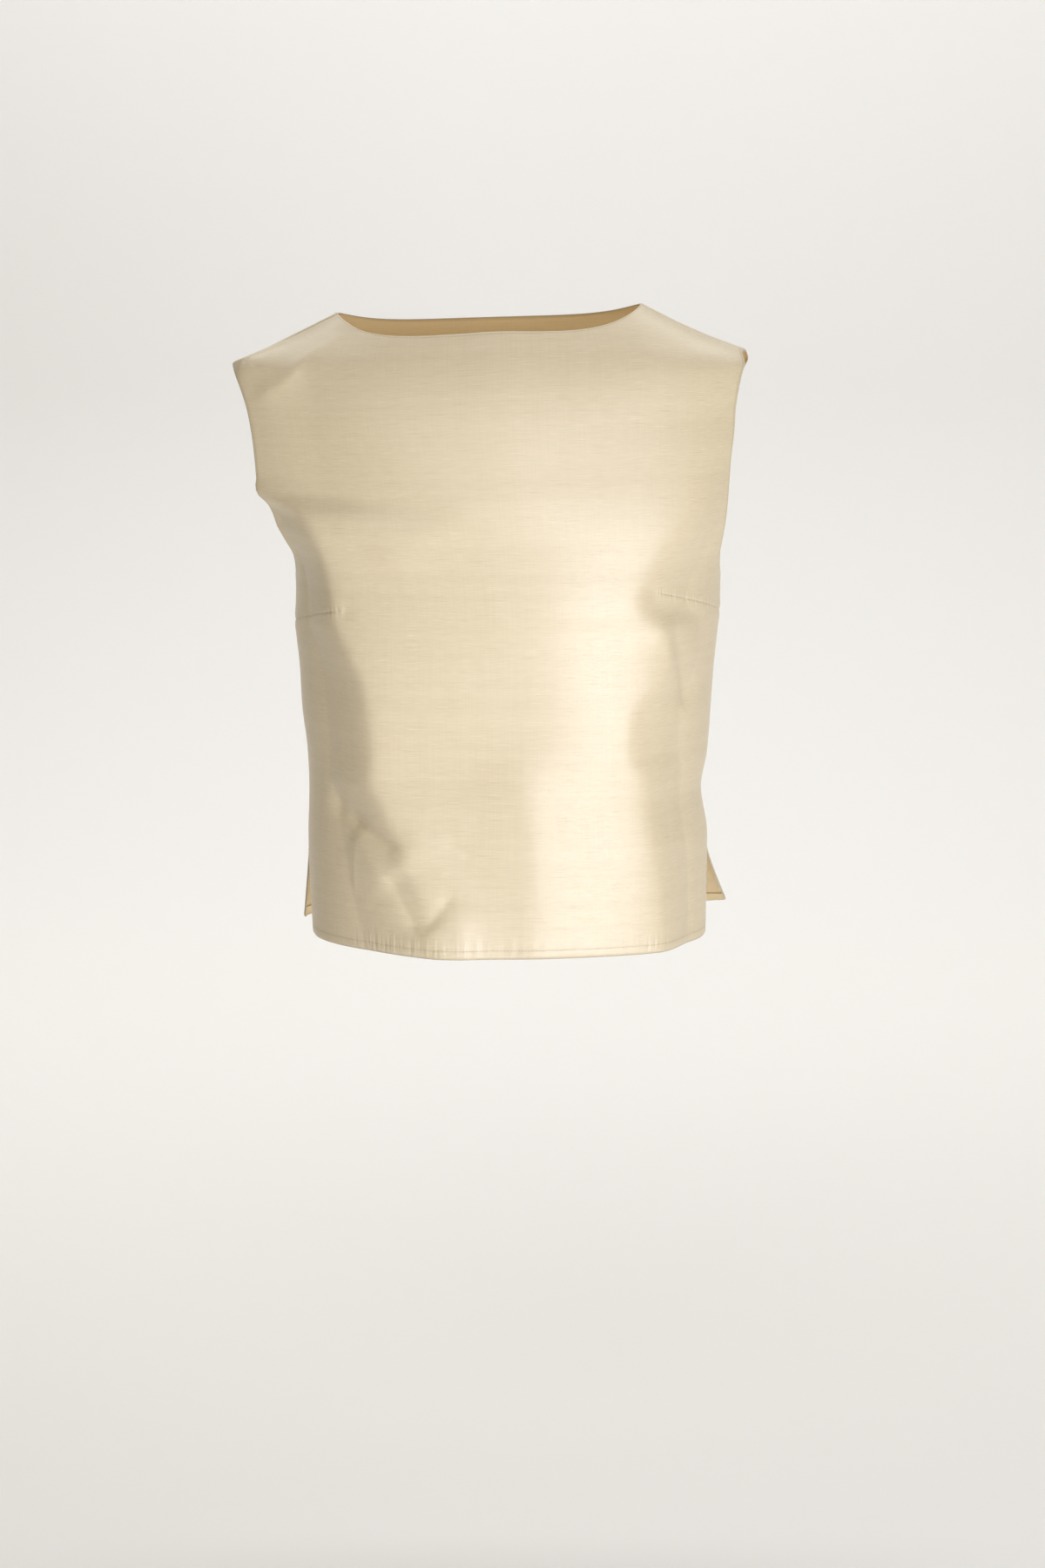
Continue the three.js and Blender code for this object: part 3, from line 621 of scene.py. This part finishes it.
class Panel:
    """The front or back: a grid of outer points and normals, in millimetres, and its cloth coordinates."""

    def __init__(self, face):
        self.face = face
        self.columns, self.rows = panel_columns(PANEL_COLUMNS), panel_rows(ROW_STEP)
        column, row = np.meshgrid(self.columns, self.rows)
        turn, height = panel_place(face, column, row)
        self.points = cloth_point(face, turn, height, True)
        self.normals = cloth_normal(face, turn, height)
        side = np.where(turn < 0, -1.0, 1.0)
        across = quarter_girth(face, side, height) * turn / QUARTER
        self.cloth = np.stack([across, cloth_up(height)], axis=-1)
        self.up = distance_from(self.points, 0, False)
        self.down = distance_from(self.points, 0, True)
        self.aside = [distance_from(self.points, 1, False), distance_from(self.points, 1, True)]
        self.armhole = row > 1
        self.slit = height < SLIT_TOP
        self.neck = np.abs(column) < NECK_SHARE
        self.points = self.points - self.normals * (self.rolled() + STITCH_SINK * self.sewn())[..., None]
        # The crease attribute carries painted shade: how far the colour is darkened along edges, seams,
        # stitching and darts.
        self.shares = {"pucker": pucker_share(face, turn, height), "crease": self.painted_shade(turn, height)}

    def rolled(self):
        """How far the cloth rolls in at its edges and seams."""
        top_roll = np.where(self.neck, BOUND_ROLL, SEAM_ROLL)
        side_roll = np.where(self.armhole, BOUND_ROLL, np.where(self.slit, FOLD_ROLL, SEAM_ROLL))
        total = top_roll * bell(self.down, ROLL_WIDTH) + FOLD_ROLL * bell(self.up, ROLL_WIDTH)
        return total + sum(side_roll * bell(away, ROLL_WIDTH) for away in self.aside)

    def sewn(self):
        """The share by which a place lies in a line of edge stitching."""
        def line(away, at):
            return bell(away - at, STITCH_SINK_WIDTH)

        total = HEM_SINK_SHARE * line(self.up, HEM_STITCH)
        total = total + np.where(self.neck, line(self.down, EDGE_STITCH), 0)
        for away in self.aside:
            total = total + np.where(self.armhole, line(away, EDGE_STITCH), 0)
            total = total + np.where(self.slit & (self.up > HEM_STITCH), line(away, SLIT_STITCH), 0)
        return total

    def painted_shade(self, turn, height):
        """The share of painted shade at a place: a soft darker line painted along each pressed edge, seam,
        dart and line of stitching, where shade falls.
        """
        painted_line_shade = sum(bell(away, ROLL_WIDTH) for away in (self.down, self.up, *self.aside))
        total = STITCH_PAINTED_SHADE * self.sewn() + painted_line_shade
        if self.face == FRONT:
            line, tip = dart_line(turn)
            reach = ease((np.abs(turn) - tip) / DART_START)
            total = total + DART_PAINTED_SHADE * reach * bell(height - line, ROLL_WIDTH)
        return np.clip(total, 0, 1)

    def row_heights(self):
        """Heights of the rows below the underarm, and the underarm's height for those above."""
        return mix(HEM, UNDERARM, np.minimum(self.rows, 1))

    def line(self, away, at, where, turned=False):
        """Points along a stitch line at a distance from an edge, one for each row in where, or for each
        column if the grid is turned."""
        points = self.points.transpose(1, 0, 2) if turned else self.points
        normals = self.normals.transpose(1, 0, 2) if turned else self.normals
        found = []
        for index in where:
            run = away[index]
            far = run > at
            after = int(np.argmax(far)) if run[0] < run[-1] else len(run) - 1 - int(np.argmax(far[::-1]))
            before = after - 1 if run[0] < run[-1] else after + 1
            share = (at - run[before]) / (run[after] - run[before])
            point = mix(points[index][before], points[index][after], share)
            found.append(point + mix(normals[index][before], normals[index][after], share) * STITCH_LIFT)
        return np.array(found)

    def edge_loops(self):
        """The stitch lines of this panel: neckline, armholes, hem and slits, as lists of points."""
        upper = np.flatnonzero(self.rows > 1)
        heights = self.row_heights()
        lower = np.flatnonzero((heights > HEM + HEM_STITCH) & (heights < SLIT_TOP - SLIT_CLEAR))
        neck = np.flatnonzero(self.neck[0])
        hem = np.arange(len(self.columns))[HEM_ENDS:-HEM_ENDS]
        loops = [self.line(self.down.T, EDGE_STITCH, neck, True)]
        loops.append(self.line(self.up.T, HEM_STITCH, hem, True))
        for away in self.aside:
            loops.append(self.line(away, EDGE_STITCH, upper))
            loops.append(self.line(away, SLIT_STITCH, lower))
        return loops


# Mesh, material and scene helpers.


def linear(hex_colour):
    """An sRGB hex colour as linear RGBA."""
    def channel(value):
        value /= 255
        return value / 12.92 if value <= 0.04045 else ((value + 0.055) / 1.055) ** 2.4

    return tuple(channel(int(hex_colour[i : i + 2], 16)) for i in (1, 3, 5)) + (1.0,)


def grid_object(name, points, cloth, shares, materials, flip):
    """A smooth grid mesh in metres, facing outwards, with its cloth coordinates as a UV map and its shares
    as attributes."""
    rows, columns = points.shape[:2]
    index = np.arange(rows * columns).reshape(rows, columns)
    corners = [index[:-1, :-1], index[:-1, 1:], index[1:, 1:], index[1:, :-1]]
    quads = np.stack(corners, axis=-1).reshape(-1, 4)
    if flip:
        quads = quads[:, ::-1]
    mesh = bpy.data.meshes.new(name)
    mesh.from_pydata((points.reshape(-1, 3) * MM).tolist(), [], quads.tolist())
    layer = mesh.uv_layers.new(name="cloth")
    layer.data.foreach_set("uv", (cloth.reshape(-1, 2)[quads.reshape(-1)] * MM).astype(np.float32).ravel())
    for label, share in shares.items():
        attribute = mesh.attributes.new(label, "FLOAT", "POINT")
        attribute.data.foreach_set("value", share.astype(np.float32).ravel())
    mesh.shade_smooth()
    for material in materials:
        mesh.materials.append(material)
    piece = bpy.data.objects.new(name, mesh)
    bpy.context.scene.collection.objects.link(piece)
    return piece


def thicken(piece, thickness):
    """Gives a sheet its thickness inwards. Its inner side takes the second material."""
    shell = piece.modifiers.new("Cloth thickness", "SOLIDIFY")
    shell.thickness = thickness * MM
    shell.offset = -1
    shell.use_even_offset = False
    shell.material_offset = 1
    shell.material_offset_rim = 0


def joined(name, pieces):
    """Several objects as one, named after the whole."""
    mesh = bmesh.new()
    materials = list(pieces[0].data.materials)
    for piece in pieces:
        mesh.from_mesh(piece.data)
    whole = bpy.data.meshes.new(name)
    mesh.to_mesh(whole)
    mesh.free()
    for material in materials:
        whole.materials.append(material)
    for piece in pieces:
        old = piece.data
        bpy.data.objects.remove(piece)
        bpy.data.meshes.remove(old)
    result = bpy.data.objects.new(name, whole)
    bpy.context.scene.collection.objects.link(result)
    return result


def node(tree, kind, settings=None, **links):
    """Adds a node, sets its properties, and fills its inputs with values or links. A node given as a value
    stands for its first output, and i0, i1 and so on are inputs by number."""
    made = tree.nodes.new(kind)
    for key, value in (settings or {}).items():
        setattr(made, key, value)
    for key, value in links.items():
        place = int(key[1:]) if key[0] == "i" and key[1:].isdigit() else key.replace("_", " ")
        socket = made.inputs[place]
        if isinstance(value, bpy.types.Node):
            value = value.outputs[0]
        if isinstance(value, bpy.types.NodeSocket):
            tree.links.new(value, socket)
        else:
            socket.default_value = value
    return made


# Materials.


def start_material(name):
    material = bpy.data.materials.new(name)
    material.use_nodes = True
    material.node_tree.nodes.clear()
    return material, material.node_tree


# The weave's patterns. Their lumps are across by up millimetres, and shift sets each one apart from the
# others. The real weave has about 25 ribs to the centimetre. They are drawn at 0.7 mm, the finest that
# shows.
Weave = namedtuple("Weave", "across up shift detail")
WEAVES = {
    "ribs": Weave(9, 0.7, 3.1, 2),
    "slubs": Weave(18, 0.6, 11.7, 1),
    "thin": Weave(24, 0.65, 23.9, 1),
    "bands": Weave(420, 7, 5.3, 3),
    "warp": Weave(0.9, 60, 8.8, 1),
    "puckers": Weave(3, 24, 17.3, 1),
}
SHIFT_UP = 1.7  # how far a pattern is shifted up the cloth for each unit across it

# Between these values of its noise a pattern goes from nought to 1. Its weight is what it then adds to the
# share of the pale colour, to the relief or to the roughness.
Tone = namedtuple("Tone", "low high")
TONES = {
    "ribs": Tone(0.25, 0.75),
    "slubs": Tone(0.66, 0.78),
    "thin": Tone(0.65, 0.78),
    "bands": Tone(0.3, 0.7),
    "warp": Tone(0.3, 0.7),
}
TONE_BASE = 0.28
TONE_WEIGHTS = {"bands": 0.12, "ribs": 0.24, "warp": 0.08, "slubs": 0.5, "thin": -0.4}
RELIEF_WEIGHTS = {"ribs": 0.55, "slubs": 1.0, "warp": 0.15, "puckers": 18.0}
ROUGH_LEAST, ROUGH_WEIGHTS = 0.42, {"ribs": 0.08}
# Painted shade along edges, seams and stitching: how strongly it darkens the silk, and the share of the
# deep colour that it darkens to.
PAINTED_SHADE_STRENGTH, PAINTED_SHADE_DEPTH = 0.45, 0.35


def weave_noise(tree, weave):
    """A noise drawn on the cloth's own coordinates."""
    cloth = node(tree, "ShaderNodeUVMap", {"uv_map": "cloth"})
    scale = (1 / (weave.across * MM), 1 / (weave.up * MM), 1)
    shift = (weave.shift, SHIFT_UP * weave.shift, 0)
    place = node(tree, "ShaderNodeMapping", Vector=cloth, Scale=scale, Location=shift)
    flat = {"noise_dimensions": "2D"}
    return node(tree, "ShaderNodeTexNoise", flat, Vector=place, Scale=1.0, Detail=weave.detail)


def weighted_sum(tree, patterns, weights, base):
    """The base with each pattern added to it by its weight."""
    total, settings = base, {"operation": "MULTIPLY_ADD"}
    for label, weight in weights.items():
        total = node(tree, "ShaderNodeMath", settings, i0=patterns[label], i1=weight, i2=total)
    return total


def slubbed_silk(name, deep, pale, lustre):
    """Dupioni: thin even warp crossed by uneven weft, which gives level slubs and fine ribs, under a broad
    white lustre that lights up where the cloth turns to the light and leaves it warm and dull elsewhere."""
    material, tree = start_material(name)
    noises = {label: weave_noise(tree, weave) for label, weave in WEAVES.items()}
    shares = {
        label: node(tree, "ShaderNodeMapRange", {"interpolation_type": "SMOOTHSTEP"}, Value=noises[label],
                    From_Min=tone.low, From_Max=tone.high)
        for label, tone in TONES.items()
    }
    blend = {"data_type": "RGBA"}
    paleness = weighted_sum(tree, shares, TONE_WEIGHTS, TONE_BASE)
    woven = node(tree, "ShaderNodeMix", blend, i0=paleness, i6=(*deep, 1), i7=(*pale, 1)).outputs[2]
    # Painted shade: a soft darker line is painted into the colour along each pressed edge, seam, dart and
    # line of stitching, where shade falls.
    painted_line_shade = node(tree, "ShaderNodeAttribute", {"attribute_name": "crease"}).outputs["Fac"]
    crease = node(tree, "ShaderNodeMath", {"operation": "MULTIPLY"}, i0=painted_line_shade, i1=PAINTED_SHADE_STRENGTH)
    painted_shade_colour = (*(PAINTED_SHADE_DEPTH * channel for channel in deep), 1)
    colour = node(tree, "ShaderNodeMix", blend, i0=crease, i6=woven, i7=painted_shade_colour).outputs[2]
    # Puckers stand across each line of stitching, where the pucker attribute is above nought.
    gathered = node(tree, "ShaderNodeAttribute", {"attribute_name": "pucker"}).outputs["Fac"]
    puckers = node(tree, "ShaderNodeMath", {"operation": "MULTIPLY"}, i0=noises["puckers"], i1=gathered)
    raised = {**noises, "slubs": shares["slubs"], "puckers": puckers}
    relief = weighted_sum(tree, raised, RELIEF_WEIGHTS, 0.0)
    bump = node(tree, "ShaderNodeBump", Height=relief, Strength=0.5, Distance=0.12 * MM)
    rough = weighted_sum(tree, shares, ROUGH_WEIGHTS, ROUGH_LEAST)
    tangent = node(tree, "ShaderNodeTangent", {"direction_type": "UV_MAP", "uv_map": "cloth"})
    silk = node(
        tree, "ShaderNodeBsdfPrincipled", Base_Color=colour, Roughness=rough, IOR=1.9, Normal=bump,
        Specular_IOR_Level=lustre, Anisotropic=0.6, Anisotropic_Rotation=0.25, Tangent=tangent,
        Sheen_Weight=0.04, Sheen_Roughness=0.35, Sheen_Tint=linear("#FFE9C4"),
    )
    node(tree, "ShaderNodeOutputMaterial", Surface=silk)
    return material


def silk_thread(name, colour):
    """Fine spun silk sewing thread: a soft satin gloss on each short stitch."""
    material, tree = start_material(name)
    spun = node(tree, "ShaderNodeBsdfPrincipled", Base_Color=(*colour, 1), Roughness=0.45, Sheen_Weight=0.2)
    node(tree, "ShaderNodeOutputMaterial", Surface=spun)
    return material


def matt_paper(name, colour):
    """Pale background paper: fully matt, so it takes only soft shadows."""
    material, tree = start_material(name)
    paper = node(tree, "ShaderNodeBsdfPrincipled", Base_Color=(*colour, 1), Roughness=0.95)
    node(tree, "ShaderNodeOutputMaterial", Surface=paper)
    return material


def kept_material(name, make, *values):
    return bpy.data.materials.get(name) or make(name, *values)


# Stitches.

STITCH_SEED = 7


def group_input(tree, name, kind):
    return tree.interface.new_socket(name, in_out="INPUT", socket_type=kind).identifier


def stitch_tree():
    """Geometry nodes that sew short rounded stitches along every edge line of a mesh."""
    tree = bpy.data.node_groups.new("Sewn stitches", "GeometryNodeTree")
    keys = {
        "lines": group_input(tree, "Lines", "NodeSocketGeometry"),
        "length": group_input(tree, "Stitch length", "NodeSocketFloat"),
        "width": group_input(tree, "Thread width", "NodeSocketFloat"),
        "gap": group_input(tree, "Gap share", "NodeSocketFloat"),
        "uneven": group_input(tree, "Unevenness", "NodeSocketFloat"),
        "seed": group_input(tree, "Seed", "NodeSocketInt"),
        "material": group_input(tree, "Thread", "NodeSocketMaterial"),
    }
    tree.interface.new_socket("Stitches", in_out="OUTPUT", socket_type="NodeSocketGeometry")
    given = node(tree, "NodeGroupInput").outputs
    length, width = given["Stitch length"], given["Thread width"]
    multiply = {"operation": "MULTIPLY"}
    curve = node(tree, "GeometryNodeMeshToCurve", Mesh=given["Lines"])
    points = node(tree, "GeometryNodeCurveToPoints", {"mode": "LENGTH"}, Curve=curve, Length=length)
    turn = node(tree, "FunctionNodeAlignRotationToVector", {"axis": "Z"}, Vector=points.outputs["Tangent"])
    # The random value's float inputs and output follow its vector ones.
    single = {"data_type": "FLOAT"}
    jitter = node(tree, "FunctionNodeRandomValue", single, i2=-1.0, i3=1.0, Seed=given["Seed"])
    swing = node(tree, "ShaderNodeMath", multiply, i0=jitter.outputs[1], i1=given["Unevenness"])
    fill = node(tree, "ShaderNodeMath", {"operation": "SUBTRACT"}, i0=swing, i1=given["Gap share"])
    share = node(tree, "ShaderNodeMath", {"operation": "ADD"}, i0=fill, i1=1.0)
    long = node(tree, "ShaderNodeMath", multiply, i0=share, i1=length)
    size = node(tree, "ShaderNodeCombineXYZ", X=width, Y=width, Z=long)
    stitch = node(tree, "GeometryNodeMeshUVSphere", Segments=6, Rings=5, Radius=0.5)
    sewn = node(tree, "GeometryNodeInstanceOnPoints", Points=points, Instance=stitch, Rotation=turn,
                Scale=size)
    real = node(tree, "GeometryNodeRealizeInstances", Geometry=sewn)
    smooth = node(tree, "GeometryNodeSetShadeSmooth", Geometry=real)
    done = node(tree, "GeometryNodeSetMaterial", Geometry=smooth, Material=given["Thread"])
    node(tree, "NodeGroupOutput", Stitches=done)
    return tree, keys


def line_mesh(name, loops):
    """A mesh of open polylines, in metres."""
    points, edges = [], []
    for loop in loops:
        first = len(points)
        points.extend((loop * MM).tolist())
        edges.extend((first + i, first + i + 1) for i in range(len(loop) - 1))
    mesh = bpy.data.meshes.new(name)
    mesh.from_pydata(points, edges, [])
    return mesh


def sew(name, loops, sizes, thread):
    """Sews stitches along lines and returns them as one plain mesh object."""
    lines = bpy.data.objects.new(name + "_lines", line_mesh(name + "_lines", loops))
    bpy.context.scene.collection.objects.link(lines)
    tree, keys = stitch_tree()
    sewing = lines.modifiers.new("Stitches", "NODES")
    sewing.node_group = tree
    sewing[keys["length"]] = sizes.stitch_length
    sewing[keys["width"]] = sizes.thread_width
    sewing[keys["gap"]] = sizes.stitch_gap
    sewing[keys["uneven"]] = sizes.stitch_unevenness
    sewing[keys["seed"]] = STITCH_SEED
    sewing[keys["material"]] = thread
    bpy.context.view_layer.update()
    seen = lines.evaluated_get(bpy.context.evaluated_depsgraph_get())
    mesh = bpy.data.meshes.new_from_object(seen)
    mesh.name = name
    old = lines.data
    bpy.data.objects.remove(lines)
    bpy.data.meshes.remove(old)
    bpy.data.node_groups.remove(tree)
    piece = bpy.data.objects.new(name, mesh)
    bpy.context.scene.collection.objects.link(piece)
    return piece


# Settings, operators and panel.


class SilkTopSizes(bpy.types.PropertyGroup):
    """Sizes of the cloth's thickness, turnings and stitches."""

    cloth_thickness: bpy.props.FloatProperty(
        name="Cloth thickness", description="Thickness of the silk", default=0.0006,
        min=0.0003, max=0.0014, unit="LENGTH", subtype="DISTANCE", precision=5,
    )
    stitch_length: bpy.props.FloatProperty(
        name="Stitch length", description="Length of one stitch with its gap", default=0.0026, min=0.001,
        max=0.006, unit="LENGTH", subtype="DISTANCE", precision=5,
    )
    thread_width: bpy.props.FloatProperty(
        name="Thread width", description="Thickness of the sewing thread", default=0.00034, min=0.0001,
        max=0.001, unit="LENGTH", subtype="DISTANCE", precision=5,
    )
    stitch_gap: bpy.props.FloatProperty(
        name="Stitch gap", description="Share of each stitch's length that dips out of sight", default=0.26,
        min=0.0, max=0.7, subtype="FACTOR",
    )
    stitch_unevenness: bpy.props.FloatProperty(
        name="Stitch unevenness", description="How much stitches vary in length", default=0.12, min=0.0,
        max=0.5, subtype="FACTOR",
    )


class SilkTopColours(bpy.types.PropertyGroup):
    """Colours of the silk, its thread and the paper behind it."""

    silk_deep: bpy.props.FloatVectorProperty(
        name="Silk, deep", description="Colour of the silk between its slubs",
        default=linear("#D4C2A0")[:3], min=0.0, max=1.0, subtype="COLOR",
    )
    silk_pale: bpy.props.FloatVectorProperty(
        name="Silk, pale", description="Colour of the silk's raised ribs", default=linear("#EADABA")[:3],
        min=0.0, max=1.0, subtype="COLOR",
    )
    # The reverse's colours are painted light: the silk's own colour made paler and warmer than the right
    # side's, standing in for light that shines through the thin cloth.
    reverse_deep: bpy.props.FloatVectorProperty(
        name="Reverse, deep", description="Deep colour of the silk's inner side",
        default=linear("#EBD3A1")[:3], min=0.0, max=1.0, subtype="COLOR",
    )
    reverse_pale: bpy.props.FloatVectorProperty(
        name="Reverse, pale", description="Pale colour of the silk's inner side",
        default=linear("#FBE6BB")[:3], min=0.0, max=1.0, subtype="COLOR",
    )
    thread: bpy.props.FloatVectorProperty(
        name="Thread", description="Colour of the sewing thread", default=linear("#CDB88F")[:3],
        min=0.0, max=1.0, subtype="COLOR",
    )
    paper: bpy.props.FloatVectorProperty(
        name="Paper", description="Colour of the background paper", default=linear("#F4F3F1")[:3],
        min=0.0, max=1.0, subtype="COLOR",
    )


class SilkTopLights(bpy.types.PropertyGroup):
    """The strength of the lights."""

    key_power: bpy.props.FloatProperty(
        name="Key light", description="Power of the main soft light", default=41.0, min=0.0, unit="POWER",
    )
    fill_power: bpy.props.FloatProperty(
        name="Fill light", description="Power of the weaker light from the front", default=10.5, min=0.0,
        unit="POWER",
    )
    backdrop_power: bpy.props.FloatProperty(
        name="Backdrop light", description="Power of the light on the backdrop", default=75.0, min=0.0,
        unit="POWER",
    )
    room_light: bpy.props.FloatProperty(
        name="Room light", description="Strength of the even light from all round", default=0.155, min=0.0,
    )


def cloth_materials(colours):
    """The silk's right side and its reverse, which has less lustre. The reverse's colours are the silk's
    own colour painted paler and warmer, standing in for the light that shines through the thin cloth.
    """
    right, reverse = (colours.silk_deep, colours.silk_pale), (colours.reverse_deep, colours.reverse_pale)
    return (
        kept_material("Champagne dupioni silk", slubbed_silk, *right, 0.5),
        kept_material("Dupioni silk reverse", slubbed_silk, *reverse, 0.25),
    )


def make_panel(name, face, nodes):
    """One panel of cloth with its hem and slit turnings, each a thin shell."""
    thickness = bpy.context.scene.silk_top_sizes.cloth_thickness / MM
    materials = cloth_materials(bpy.context.scene.silk_top_colours)
    panel = Panel(face)
    flip = face == BACK
    piece = grid_object(name, panel.points, panel.cloth, panel.shares, materials, flip)
    thicken(piece, thickness)
    turnings = make_turnings(name + "_turnings", panel, thickness, materials, flip)
    for made in (piece, turnings):
        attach(made, "root")
    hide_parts(nodes[0])
    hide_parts(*nodes[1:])
    return piece


def make_turnings(name, panel, thickness, materials, flip):
    """The cloth folded up inside along the hem and along both edges of each slit half."""
    inner = panel.points - panel.normals * (thickness + TURNING_GAP)
    hem_rows = len(HEM_STEPS)
    slit_end = int(np.argmax(panel.row_heights() >= SLIT_TOP - SLIT_CLEAR))
    right, left = (np.flatnonzero(away[hem_rows] <= TURNING_WIDE + TURNING_SLACK) for away in panel.aside)
    spans = (
        ("_hem", slice(None, hem_rows), slice(1, -1)),
        ("_slit_right", slice(hem_rows, slit_end), slice(1, right[-1] + 1)),
        ("_slit_left", slice(hem_rows, slit_end), slice(left[0], -1)),
    )
    parts = [
        grid_object(name + label, inner[rows, columns], panel.cloth[rows, columns], {}, materials, flip)
        for label, rows, columns in spans
    ]
    whole = joined(name, parts)
    thicken(whole, thickness * TURNING_THICK)
    return whole


class SILKTOP_OT_front(bpy.types.Operator):
    """Makes the front, with its bust darts and its hem and slit turnings"""

    bl_idname = "silk_top.front"
    bl_label = "Make the front"

    def execute(self, context):
        nodes = ("front_panel", "front_hem_turning", "front_slit_turning_left", "front_slit_turning_right")
        make_panel("front_cloth", FRONT, nodes)
        return {"FINISHED"}


class SILKTOP_OT_back(bpy.types.Operator):
    """Makes the back, with its hem and slit turnings"""

    bl_idname = "silk_top.back"
    bl_label = "Make the back"

    def execute(self, context):
        nodes = ("back_panel", "back_hem_turning", "back_slit_turning_left", "back_slit_turning_right")
        make_panel("back_cloth", BACK, nodes)
        return {"FINISHED"}


class SILKTOP_OT_stitches(bpy.types.Operator):
    """Sews the neckline, armholes, hem and slits"""

    bl_idname = "silk_top.stitches"
    bl_label = "Sew the edges"

    def execute(self, context):
        loops = Panel(FRONT).edge_loops() + Panel(BACK).edge_loops()
        thread = kept_material("Champagne silk thread", silk_thread, context.scene.silk_top_colours.thread)
        piece = sew("edge_stitches", loops, context.scene.silk_top_sizes, thread)
        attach(piece, "root")
        return {"FINISHED"}


MIDDLE = Vector((0.0, 0.0, -0.24))  # the garment's own middle, in metres
FLOOR = -0.95


def area_light(name, place, target, size, power, colour):
    light = bpy.data.lights.new(name, "AREA")
    light.shape, light.size, light.size_y = "RECTANGLE", size[0], size[1]
    light.energy, light.color = power, linear(colour)[:3]
    lamp = bpy.data.objects.new(name, light)
    lamp.location = place
    lamp.rotation_euler = (target - place).to_track_quat("-Z", "Y").to_euler()
    bpy.context.scene.collection.objects.link(lamp)
    return lamp


def round_about(azimuth, elevation, distance):
    """A place around the garment: azimuth 0 is in front of it, plus to the camera's right."""
    a, e = math.radians(azimuth), math.radians(elevation)
    way = Vector((math.sin(a) * math.cos(e), -math.cos(a) * math.cos(e), math.sin(e)))
    return MIDDLE + distance * way


def backdrop(paper):
    """A floor that curves up into a wall behind the garment."""
    front, depth, bend, top, half = -6.0, 2.2, 0.7, 4.5, 5.0
    arc = np.linspace(0, math.pi / 2, 24)
    curve = [(depth + bend * math.sin(t), FLOOR + bend * (1 - math.cos(t))) for t in arc]
    profile = [(front, FLOOR), *curve, (depth + bend, top)]
    rows = [[(x, y, z) for x in (-half, half)] for y, z in profile]
    points = [p for row in rows for p in row]
    faces = [(2 * i, 2 * i + 1, 2 * i + 3, 2 * i + 2) for i in range(len(rows) - 1)]
    mesh = bpy.data.meshes.new("backdrop")
    mesh.from_pydata(points, [], faces)
    mesh.shade_smooth()
    mesh.materials.append(paper)
    sweep = bpy.data.objects.new("backdrop", mesh)
    bpy.context.scene.collection.objects.link(sweep)
    return sweep


def make_camera():
    """A long lens a little above the chest, looking slightly down."""
    target, distance, pitch = Vector((0.025, 0.0, -0.363)), 3.2, math.radians(9.3)
    lens = bpy.data.cameras.new("camera")
    lens.sensor_fit, lens.sensor_width, lens.sensor_height, lens.lens = "AUTO", 36.0, 36.0, 96.0
    lens.dof.use_dof = False
    lens.clip_start, lens.clip_end = 0.05, 60.0
    camera = bpy.data.objects.new("camera", lens)
    camera.location = target + distance * Vector((0, -math.cos(pitch), math.sin(pitch)))
    camera.rotation_euler = (math.radians(90) - pitch, 0, 0)
    bpy.context.scene.collection.objects.link(camera)
    bpy.context.scene.camera = camera


class SILKTOP_OT_stage(bpy.types.Operator):
    """Makes the paper backdrop, the soft lights and the camera"""

    bl_idname = "silk_top.stage"
    bl_label = "Set the stage"

    def execute(self, context):
        light = context.scene.silk_top_lights
        paper = kept_material("White background paper", matt_paper, context.scene.silk_top_colours.paper)
        above, below = Vector((0, 1.6, 2.2)), Vector((0, 2.0, FLOOR))
        staged = [
            backdrop(paper),
            area_light("key", round_about(25, -3, 2.4), MIDDLE, (1.4, 1.0), light.key_power, "#F1F5FF"),
            area_light("fill", round_about(-8, 28, 2.2), MIDDLE, (1.4, 1.2), light.fill_power, "#FFFDF8"),
            area_light("wash", above, below, (4.0, 1.6), light.backdrop_power, "#FFFFFF"),
        ]
        world = context.scene.world or bpy.data.worlds.new("studio")
        context.scene.world = world
        world.use_nodes = True
        tree = world.node_tree
        tree.nodes.clear()
        glow = node(tree, "ShaderNodeBackground", Color=linear("#FFF1D4"), Strength=light.room_light)
        node(tree, "ShaderNodeOutputWorld", Surface=glow)
        context.scene.view_settings.view_transform = "Standard"
        make_camera()
        return {"FINISHED"}


class SILKTOP_PT_panel(bpy.types.Panel):
    """The silk top's sizes, colours, lights and steps"""

    bl_label = "Silk Top"
    bl_idname = "SILKTOP_PT_panel"
    bl_space_type = "VIEW_3D"
    bl_region_type = "UI"
    bl_category = "Silk Top"

    def draw(self, context):
        scene = context.scene
        for group in (scene.silk_top_sizes, scene.silk_top_colours, scene.silk_top_lights):
            for name in group.__annotations__:
                self.layout.prop(group, name)
        for step in STEPS:
            self.layout.operator(step.bl_idname)


STEPS = (SILKTOP_OT_front, SILKTOP_OT_back, SILKTOP_OT_stitches, SILKTOP_OT_stage)
CLASSES = (SilkTopSizes, SilkTopColours, SilkTopLights, *STEPS, SILKTOP_PT_panel)


def register():
    for cls in CLASSES:
        bpy.utils.register_class(cls)
    bpy.types.Scene.silk_top_sizes = bpy.props.PointerProperty(type=SilkTopSizes)
    bpy.types.Scene.silk_top_colours = bpy.props.PointerProperty(type=SilkTopColours)
    bpy.types.Scene.silk_top_lights = bpy.props.PointerProperty(type=SilkTopLights)


def unregister():
    del bpy.types.Scene.silk_top_lights
    del bpy.types.Scene.silk_top_colours
    del bpy.types.Scene.silk_top_sizes
    for cls in reversed(CLASSES):
        bpy.utils.unregister_class(cls)


def main():
    register()
    bpy.ops.silk_top.front()
    bpy.ops.silk_top.back()
    bpy.ops.silk_top.stitches()
    bpy.ops.silk_top.stage()


if __name__ == "__main__":
    main()
